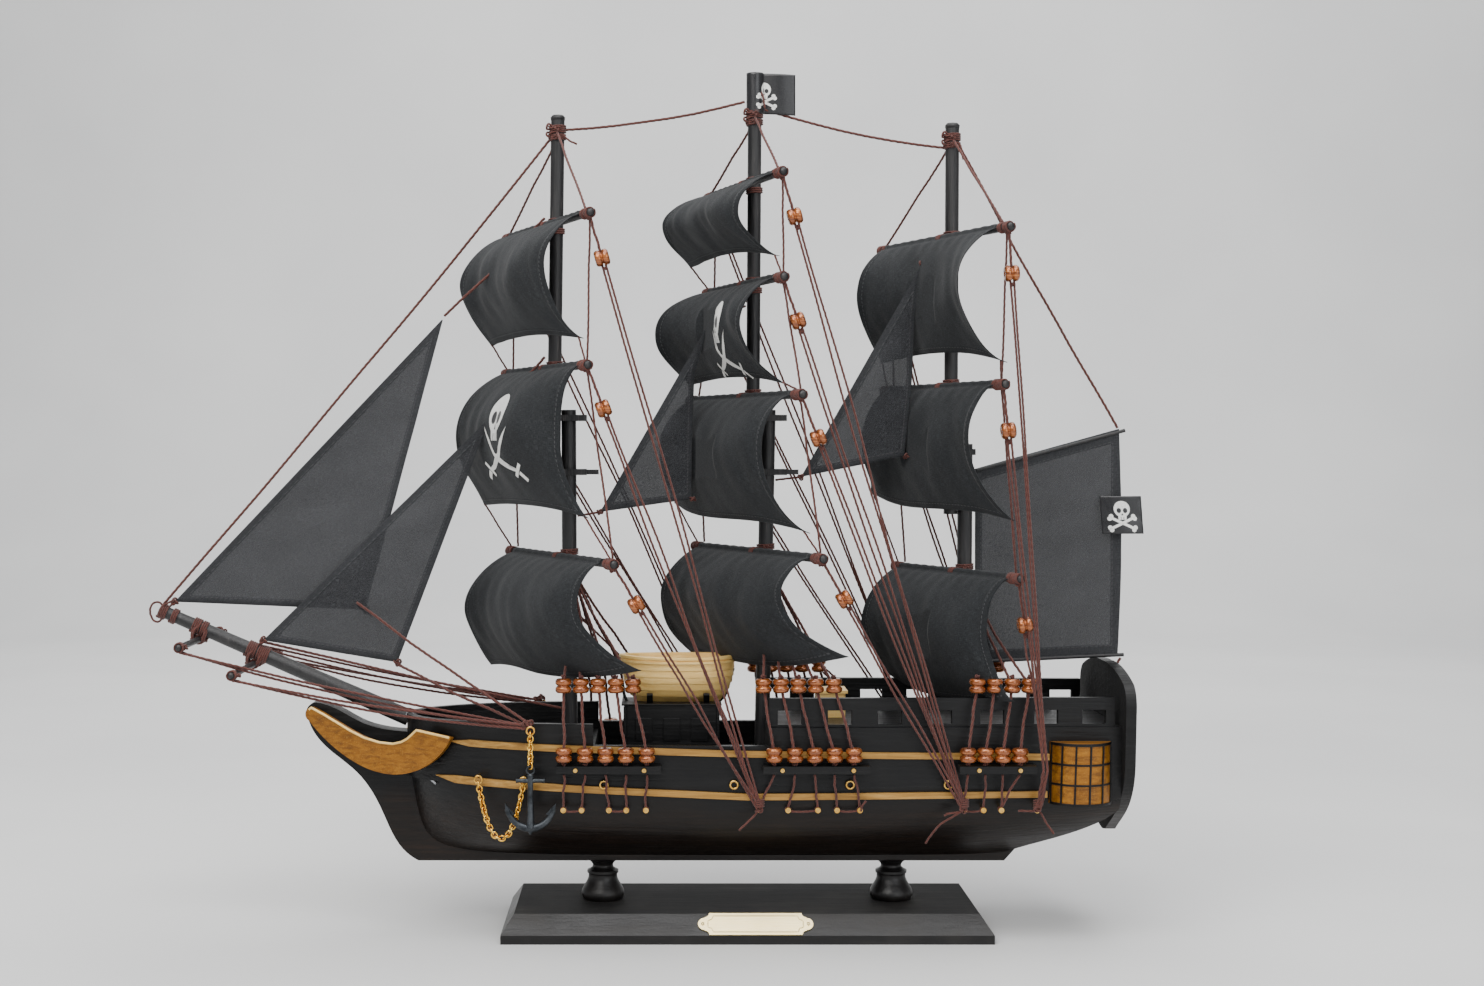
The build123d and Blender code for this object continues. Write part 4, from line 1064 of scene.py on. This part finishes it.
for side in SIDES:
    eye = Vector((ANCHOR_X - 2.6, side * 49, CHAIN_TOP + 5))
    for index, (x, z, half) in enumerate(SPRIT_YARDS):
        for copy in (0, 1):
            start = (x + copy, side * (half - 2 - 1.2 * copy), z - 2.4)
            stop = eye + Vector((copy, 0, -1.6 * copy))
            guy = sagged(start, stop, 1.6 + 2 * copy, 2, index + side + 5 * copy)
            stays.rope(guy, CORD_R * 0.9, seed=index)
        seize((x, side * (half - 2), z), Y_AXIS, 1.7, 4, True, index + side)
    tie(eye, 2.2, side)
    tie(eye + Vector((2, 0, 1)), 1.8, side + 2)
sprit_way = Vector((tip_x - SPRIT_HEEL[0], 0, tip_z - SPRIT_HEEL[1])).normalized()
for back, turns in ((2, 4), (8, 3), (20, 4), (24, 3), (50, 5), (55, 4), (58, 2)):
    at = Vector((tip_x, 0, tip_z)) - sprit_way * back
    seize(at, sprit_way, 3.2 + 0.009 * back, turns, True, back)
for x, z, _ in SPRIT_YARDS:
    seize((x, 0, z), Y_AXIS, 1.7, 6, True, x)
    sprit_z = tip_z + (x - tip_x) * (SPRIT_HEEL[1] - tip_z) / (SPRIT_HEEL[0] - tip_x)
    for lean in SIDES:
        turns = coil((x, 0, (z + sprit_z) / 2), (sprit_way.x, lean * 0.7, sprit_way.z), 5.2, 2, 1.0, 20)
        lashings.rope(turns, CORD_R * 0.8, seed=lean)
loop = []
for i in range(31):
    a = tau * i / 30
    loop.append(Vector((tip_x - 1.5 - 3.4 * cos(a), 0.8 * sin(2 * a), tip_z - 1 - 5 * sin(a))))
lashings.rope(loop, CORD_R * 0.8)
tail((tip_x + 2, -2, tip_z + 2), (0.6, -0.5, 0.6), 8, 4)
for corner, lean in ((0, -1), (-1, 1)):
    for jib in ("outer_jib", "inner_jib"):
        y, corners, _ = STAY_SAILS[jib]
        x, z = corners[corner]
        tie((x, y, z), 1.8, lean)
        lashings.rope([(x, y, z), (x + lean * 3, y * 0.4, z - 3)], CORD_R * 0.8)
for mast in ("main", "mizzen"):
    corners = STAY_SAILS[f"{mast}_staysail"][1]
    for x, z in (corners[0], corners[1], corners[-1]):
        tie((x, 0, z), 1.5, z, 0.7)
    x, z = corners[1]
    stays.rope([(x, 0, z), (mast_x(mast, z + 6) - TOP_R - 0.5, 0, z + 6)], CORD_R * 0.8)
for name, mast, at_z, z in (("main_staysail", "fore", 200, 204), ("mizzen_staysail", "main", 222, 222)):
    tack_x, tack_z = STAY_SAILS[name][1][0]
    stays.rope([(tack_x, 0, tack_z), (mast_x(mast, at_z) + LOWER_R + 0.5, 0, z)], CORD_R * 0.8)

for bag, name, node in (
    (shrouds, "shroud_cords", "shrouds"), (braces, "brace_cords", "braces"),
    (stays, "stay_cords", "stays"), (yard_lines, "yard_cords", "yard_lines"),
):
    made = bag.done(name, "cord")
    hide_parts(node)
lashings.done("cord_lashings", "cord")

# ------------------------------------------------------------------ beads

def beads(name, spots, node):
    """Two-lobed wooden beads with a dark waist and a hole, each on its own axis."""
    bag = Bag()
    steps, n = ((25, 32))
    profile = [(0.9, -2.2), (0.95, -3.3)]
    for i in range(steps):
        h = -BEAD_H / 2 + BEAD_H * i / (steps - 1)
        from_lobe = abs(abs(h) - 1.75) / 1.75
        profile.append((3.95 * (1 - 0.3 * min(1, from_lobe) ** 2.6), h))
    profile += [(0.95, 3.3), (0.9, 2.2)]
    for centre, axis in spots:
        axis = axis.normalized()
        side = axis.orthogonal().normalized()
        bag.ring_tube([circle(centre + axis * h, side, axis.cross(side), r, n) for r, h in profile])
    made = bag.done(name, "bead")
    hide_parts(node)


beads("deadeye_beads", deadeye_spots, "deadeyes")
beads("hanging_beads", hanging_spots, "brace_beads")

# ------------------------------------------------------------------ chains and anchors

LINK_LENGTH, LINK_WIDTH, LINK_WIRE = 3.3, 2.5, 0.42


def link(bag, centre, way, across, length, width, wire):
    """One oval link, its long axis along way and its flat face across."""
    n, sides = ((20, 9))
    turns = [tau * i / n for i in range(n)]
    ring = [centre + way * cos(a) * length / 2 + across * sin(a) * width / 2 for a in turns]
    bag.tube(ring, wire, sides, close=True)


def chain(points, name, body, node, first_width=LINK_WIDTH):
    """A curb chain along points: links at a steady pitch, each turned against the last.

    The first link stands across its eye's ring, so that it can swing there.
    """
    bag, fine = Bag(), sampled(points, 0.1)
    pitch = LINK_LENGTH - 2 * LINK_WIRE - 0.35
    run, count, last = 0.0, 0, fine[0]
    for index, (p, (side, up)) in enumerate(zip(fine, carried(fine, False))):
        run += (p - last).length
        last = p
        if run >= pitch * count + LINK_LENGTH / 2 - LINK_WIRE:
            way = (fine[min(index + 8, len(fine) - 1)] - fine[max(index - 8, 0)]).normalized()
            across, width = (Y_AXIS - way * way.y).normalized(), first_width
            if count:
                angle = radians(38 if count % 2 else -38) + radians(count * 7)
                across, width = side * cos(angle) + up * sin(angle), LINK_WIDTH
            link(bag, p, way, across, LINK_LENGTH, width, LINK_WIRE)
            count += 1
    made = bag.done(name, "chain", body)
    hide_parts(node)


for side, label in ((-1, "port"), (1, "starboard")):
    at = Vector((ANCHOR_X, side * ANCHOR_Y, 0))
    hang = [at + UP * (CHAIN_TOP + 2.15), at + UP * (ANCHOR_TOP - 1.4)]
    chain(hang, f"anchor_chain_links_{label}", f"anchor_chain_{label}", f"anchor_chain_{label}", 3.1)
    first, last = [Vector((x, -side * y, z)) for x, y, z in SWAG_ENDS]
    sweep = []
    for i in range(61):
        t = -1 + i / 30
        drop = Vector((0, side * -0.3 * (1 - t * t), 1.6 - (SWAG_DEPTH + 1.6) * (1 - abs(t) ** 2.3)))
        sweep.append(first.lerp(last, (t + 1) / 2) + drop)
    chain(sweep, f"chain_swag_links_{label}", f"chain_swag_{label}", f"chain_swag_{label}")

    bag, out = Bag(), Vector((0, side, 0))
    link(bag, at + UP * (ANCHOR_TOP - 2.1), UP, X_AXIS, 3.8, 3.6, 0.48)
    shank = (ANCHOR_TOP - 3.6, ANCHOR_TOP - 4.4, 78, 70, 62, ANCHOR_CROWN + 1)
    bag.tube([at + UP * z for z in shank], [1.0, 1.75, 1.35, 1.5, 1.8, 2.1], 14)
    stock = (-7, -6.8, -5.8, 0, 5.8, 6.8, 7)
    bag.tube([at + UP * 80 + X_AXIS * x for x in stock], [0.6, 1.2, 0.95, 1.15, 0.95, 1.2, 0.6], 12)
    for lean in SIDES:
        arm = []
        for i in range(15):
            a = i / 14 * 1.28
            rise = UP * (ANCHOR_CROWN + 1.4 + 13.4 * (1 - cos(a)) * 0.98)
            arm.append(at + X_AXIS * lean * 11.6 * sin(a) + rise)
        bag.tube(arm, [1.95 - 0.7 * i / 14 for i in range(15)], 12)
        tip = arm[-1]
        way = (tip - arm[-4]).normalized()
        inward = (-X_AXIS * lean + UP * 0.15).normalized()
        palm = [tip + way * a + inward * b for a, b in ((2.6, 0), (-3.2, 2.6), (-3.8, 0.2), (-1.8, -1.4))]
        bag.ring_tube([[p + out * off for p in palm] for off in (0.75, -0.75)])
    crown = (ANCHOR_CROWN + 4.2, ANCHOR_CROWN + 1.8, ANCHOR_CROWN + 0.4, ANCHOR_CROWN - 1.6)
    bag.tube([at + UP * z for z in crown], [2.0, 2.5, 1.7, 0.35], 14)
    made = bag.done(f"anchor_cast_{label}", "anchor", f"anchor_{label}", bevel=0.12)
    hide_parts(f"anchor_{label}")

# ------------------------------------------------------------------ deck gear and trim

BOAT_X = -33
BOAT_LEVELS = ((111, 20, 3), (116, 24.5, 9.5), (123, 27.3, 12.6), (134, 28.5, 13.5))


def boat_ring(z, out=0.0, top=None, count=84):
    """A closed loop round the boat at a height, pointed forward and rounder aft."""
    level = min(max(z, BOAT_LEVELS[0][0]), BOAT_LEVELS[-1][0])
    for (z0, l0, w0), (z1, l1, w1) in zip(BOAT_LEVELS, BOAT_LEVELS[1:]):
        if z0 <= level <= z1:
            k = (level - z0) / (z1 - z0)
            half_length, half_width = l0 + (l1 - l0) * k + out, w0 + (w1 - w0) * k + out
            break
    ring = []
    for i in range(count):
        a = tau * i / count
        s = cos(a)
        full = (1 - abs(s) ** 2.2) ** 0.6 if s < 0 else (1 - abs(s) ** 2.86) ** 0.5
        height = top if top is not None else z
        sheer = 0.6 * abs(s) ** 3 * max(0, (height - 122) / 12)
        beam = half_width * full * (1 if sin(a) > 0 else -1)
        ring.append(Vector((BOAT_X + half_length * s, beam, height + sheer)))
    return ring


BOAT_KEEL, BOAT_BANDS_FROM, PLANKS = 111, 131, 6
bag = Bag()
rings = [boat_ring(BOAT_KEEL, -1.5), boat_ring(BOAT_KEEL, 0)]
for k in range(PLANKS):
    low, high = [BOAT_KEEL + (BOAT_BANDS_FROM - BOAT_KEEL) * j / PLANKS for j in (k, k + 1)]
    rings += [boat_ring(low + 0.1, 0.35), boat_ring(low + 0.5, 0.42), boat_ring(high, -0.05)]
BOAT_BANDS = (
    (131, 0.1), (131.2, 1.0), (132.3, 1.0), (132.5, 0.35), (132.9, 0.35), (133.1, 1.05),
    (134.3, 0.95), (134.6, 0.5), (134.6, -1.3), (134.2, -1.8), (128.2, -2.4), (127.8, -3.4),
)
bag.ring_tube(rings + [boat_ring(min(z, 134), out, z) for z, out in BOAT_BANDS])
boat = bag.done("lifeboat_planked", "boat", bevel=0.1)
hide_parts("lifeboat")
bag = Bag()
for x, width in ((-47, 19.5), (-33, 22.5), (-19, 21)):
    bag.block((x, 0, 131), (4.2, width, 1.1))
    bag.block((x, 0, 129.5), (1.2, 1.4, 2.6))
bag.done("lifeboat_thwarts", "boat", bevel=0.2)
bag = Bag()
turns = [i / 12 * pi / 2 for i in range(13)]
bag.tube([Vector((BOAT_X - 27.6 + 4.4 * (1 - cos(a)), 0, 121 - 11 * sin(a))) for a in turns], 0.8, 8)
keel = ((-23.2, 110.2), (20, 110.4), (23.4, 114), (27.8, 128))
bag.tube([Vector((BOAT_X + x, 0, z)) for x, z in keel], 0.8, 8)
for x in (-47, -19):
    for side in SIDES:
        tilted = X_AXIS, Vector((0, side * 0.62, 0.78)), Vector((0, side * -0.78, 0.62))
        bag.block((x, side * 8.5, 113), (3, 8.5, 1.6), tilted)
bag.done("lifeboat_keel_and_chocks", "hull", bevel=0.25)

bag = Bag()
HOUSE_X, HOUSE_Y, HOUSE_TOP = (-59.5, -13), 13, 111
for x, inset in zip(HOUSE_X, (0.3, -0.3)):
    for y in (-HOUSE_Y, HOUSE_Y):
        bag.block((x + inset, y * 0.985, 97.5), (1.6, 1.6, 26))
bag.block((sum(HOUSE_X) / 2, 0, HOUSE_TOP + 0.3), (49.5, 28.5, 0.9))
for x in (-50, -36.25, -22.5):
    for side in SIDES:
        bag.block((x, side * (HOUSE_Y + 0.2), 99), (8.4, 0.8, 11.5))
bag.block((HOUSE_X[0] - 0.2, 0, 97), (0.8, 9, 17))
bag.done("deckhouse_mouldings", "hull", smooth=False, bevel=0.3)

bag = Bag()
BAY_R, BAY_X, BAY_Y = 15.375, 159, 38.625
BAR = ((-1.7, 0), (1.7, 0), (1.5, 0.55), (-1.5, 0.55))
for side in SIDES:
    def on_bay(turn, lift):
        a = radians(turn)
        return Vector((BAY_X + (BAY_R + lift) * sin(a), side * (BAY_Y + (BAY_R + lift) * cos(a)), 0))

    for turn in (-66, -41, -16, 10, 36, 64):
        rings = []
        for k in range(9):
            lean, rise = turn + 3.5 * (k / 8 - 0.5), UP * (68.2 + 29.2 * k / 8)
            rings.append([on_bay(lean + d, lift) + rise for d, lift in BAR])
        bag.ring_tube(rings)
    for z, tall in ((68.6, 1.2), (78, 0.9), (87.6, 0.9), (97.1, 1.3)):
        under, over = UP * (z - tall / 2), UP * (z + tall / 2)
        rings = []
        for k in range(25):
            low, high = [on_bay(-67 + 134 * k / 24, lift) for lift in (-0.05, 0.5)]
            rings.append([low + under, high + under, high + over, low + over])
        bag.ring_tube(rings)
bag.done("gallery_lattice", "hull", smooth=False, bevel=0.08)

PLATE_AT = Vector((4, -38, 8.65))
PLATE_Y = Vector((0, 8, 8.7)).normalized()
PLATE_N = Vector((0, -8.7, 8)).normalized()
bag = Bag()
notch, half_w, half_h = 2.6, 24.5 - 1.6, 5.8 - 1.5
border = []
for sx, sy in ((1, 1), (-1, 1), (-1, -1), (1, -1)):
    ends = [(notch, 0), (0.7 * notch, 0.7 * notch), (0, notch)]
    corner = [
        PLATE_AT + X_AXIS * sx * (half_w - a) + PLATE_Y * sy * (half_h - b) + PLATE_N * 0.9 for a, b in ends
    ]
    border += corner[::-1] if sx * sy > 0 else corner
bag.tube(sampled(border + [border[0]], 1.0)[:-1], 0.24, 8, close=True)
for sx in SIDES:
    pin = PLATE_AT + X_AXIS * sx * 25.4
    bag.tube([pin + PLATE_N * h for h in (0.7, 1.1, 1.35, 1.45)], [0.9, 0.85, 0.5, 0.1], 16)
bag.done("name_plate_border", "plate")

# Pale gold rims along the upper edge of each head board, in the boat's paler gold: a painted highlight along the
# edge.
bag = Bag()
HEAD_TAN = 0.3739
HORN = (
    (-214.6, 108.6), (-213.5, 109.6), (-207, 106.6), (-201, 103.5), (-193, 99.3), (-186, 96.3), (-178, 94.4),
    (-171, 94), (-166.5, 95.2), (-163.5, 97), (-159, 101.3), (-150, 99.8), (-142.4, 98.5),
)
for side in SIDES:
    edge = [Vector((x - 1.05, side * (6.3 + (x + 216) * HEAD_TAN + 3.05), z - 0.15)) for x, z in HORN]
    bag.tube(sampled(edge, 1.5), 0.62, 8)
bag.done("head_board_highlight_rim", "boat")

bag = Bag()
RING_X, RING_Y, RING_R = -166.2, -6.6, 1.7
for side in SIDES:
    back = Vector((-side * 0.6, 0.8, 0))
    for x, y, z, lean in ((-153.6, 23.6, 77.4, 0.5), (-152.2, 25.2, 75.6, -0.6)):
        flat = Vector((0.8, side * 0.6, lean)).normalized()
        bag.block((x, side * y, z), (4.2, 1.4, 1.1), (flat, back, flat.cross(back)))
bag.tube([Vector((RING_X, RING_Y, z)) for z in (96, 97, 104)], [0.35, 0.7, 0.7], 10)
turns = [tau * i / 20 for i in range(20)]
ring = [Vector((RING_X + RING_R * cos(a), RING_Y, 105.6 + RING_R * sin(a))) for a in turns]
bag.tube(ring, 0.45, 8, close=True)
bag.done("bow_fittings", "steel", bevel=0.15)

bag = Bag()
for mast in MASTS:
    (foot_x, foot_z), _, _, (top_x, top_z) = MASTS[mast]
    for lift, r in ((0.2, LOWER_R + 2.2), (1.6, LOWER_R + 1.6)):
        bag.tube([Vector((foot_x, 0, foot_z + lift + step)) for step in (-0.5, 0.9)], r, 28)
    if mast != "main":
        cap = [Vector((top_x, 0, top_z + step)) for step in (-1.2, 0.2, 1.3, 1.6)]
        bag.tube(cap, [TOP_R + 0.15, TOP_R + 0.3, TOP_R * 0.8, 0.4], 24)
for name in YARDS:
    along = yard_axes(name)[2]
    for side in SIDES:
        end = [yard_end(name, side) + along * side * step for step in (-0.6, 0.7, 1.1)]
        bag.tube(end, [YARD_R + 0.1, YARD_R * 0.9, 0.4], 16)
for x, z, half in SPRIT_YARDS:
    for side in SIDES:
        bag.tube([Vector((x, side * (half + step), z)) for step in (-0.4, 0.7, 1.1)], [1.75, 1.4, 0.3], 14)
bag.done("mast_collars_and_spar_ends", "spar")

# ------------------------------------------------------------------ finishes of the carried-over pieces

FINISH = {
    "hull": (
        "hull_block", "fore_bulwark", "stem_and_keel", "waist_bulwarks", "quarter_rails", "transom",
        "channels", "deckhouse",
    ),
    "gold": ("head_boards", "quarter_galleries"),
    "wale": ("wales",),
    "boat": ("quarterdeck_hatch",),
    "stand": ("stand_base", "stand_posts"),
    "steel": ("stand_screws",),
    "plate": ("name_plate",),
    "brass": ("brass_nails", "eye_screws"),
    "spar": (
        *(f"{mast}_{part}" for mast in MASTS for part in ("lower_mast", "topmast")),
        "mast_caps", "bowsprit", "spritsail_yards", *(f"{mast}_yards" for mast in MASTS),
    ),
}
SOFT_EDGE = {
    "stand_base": 0.8, "stand_posts": 0.2, "fore_bulwark": 1.0, "waist_bulwarks": 1.0, "quarter_rails": 0.6,
    "transom": 1.1, "stem_and_keel": 1.4, "head_boards": 0.5, "wales": 0.35, "channels": 0.5,
    "deckhouse": 0.5, "quarterdeck_hatch": 0.4, "name_plate": 0.2, "mast_caps": 0.4, "brass_nails": 0.3,
    "quarter_galleries": 0.4,
}
for key, names in FINISH.items():
    for node in names:
        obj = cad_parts[node]
        obj.data.materials.clear()
        obj.data.materials.append(MATS[key])
        if node in SOFT_EDGE:
            soften(obj, SOFT_EDGE[node], 3)

# ------------------------------------------------------------------ floor, light and camera

FLOOR_HALF, FLOOR_FRONT, WALL, WALL_TOP, BEND = 5000, -3000, 2200, 4000, 700
bend = [i / 24 * pi / 2 for i in range(25)]
curve = [(WALL - BEND + BEND * sin(a), BEND - BEND * cos(a)) for a in bend]
profile = [(FLOOR_FRONT, 0), *curve, (WALL, WALL_TOP)]
verts = [(x, y, z) for y, z in profile for x in (-FLOOR_HALF, FLOOR_HALF)]
faces = [(2 * i, 2 * i + 1, 2 * i + 3, 2 * i + 2) for i in range(len(profile) - 1)]
data = bpy.data.meshes.new("backdrop")
data.from_pydata([(x * MM, y * MM, z * MM) for x, y, z in verts], [], faces)
data.polygons.foreach_set("use_smooth", [True] * len(faces))
floor = bpy.data.objects.new("backdrop", data)
bpy.context.scene.collection.objects.link(floor)
s = Shade("studio_paper")
cloud = s.noise(s.where, 2.5, 3)
s.set(Base_Color=s.ramp(cloud, ((0.3, lin(204, 204, 204)), (0.7, lin(214, 214, 213)))), Roughness=0.8)
data.materials.append(s.mat)


def softbox(name, at, target, size, power, tint=(1, 1, 1)):
    light = bpy.data.lights.new(name, "AREA")
    light.shape = "RECTANGLE"
    light.size, light.size_y = size
    light.energy = power
    light.color = tint
    obj = bpy.data.objects.new(name, light)
    obj.location = at
    obj.rotation_euler = (Vector(target) - Vector(at)).to_track_quat("-Z", "Y").to_euler()
    bpy.context.scene.collection.objects.link(obj)


softbox("key_light", (-0.7, -1.3, 1.35), (0, 0, 0.2), (1.3, 0.9), 26, (1, 0.985, 0.96))
softbox("fill_light", (0.9, -1.5, 0.7), (0, 0, 0.2), (1.2, 1.2), 11, (0.96, 0.98, 1))
softbox("top_light", (0.1, 0.25, 1.6), (0, 0, 0.2), (1.4, 1.0), 17)
softbox("bevel_light", (0.0, -0.6, 1.5), (0, 0, 0), (1.6, 0.5), 17)
softbox("back_light", (0.2, 1.0, 1.5), (0, 2.0, 0.6), (2.4, 0.8), 26)

world = bpy.data.worlds.new("studio")
bpy.context.scene.world = world
world.use_nodes = True
world.node_tree.nodes["Background"].inputs[0].default_value = (0.78, 0.8, 0.83, 1)
world.node_tree.nodes["Background"].inputs[1].default_value = 0.55

lens = bpy.data.cameras.new("camera")
lens.lens = 48.52
lens.sensor_width = 36
lens.shift_x, lens.shift_y = 0.0553, -0.029
lens.clip_start = 0.02
camera = bpy.data.objects.new("camera", lens)
camera.location = (-0.042, -1.0, 0.237)
camera.rotation_euler = (pi / 2, 0, 0)
bpy.context.scene.collection.objects.link(camera)
bpy.context.scene.camera = camera
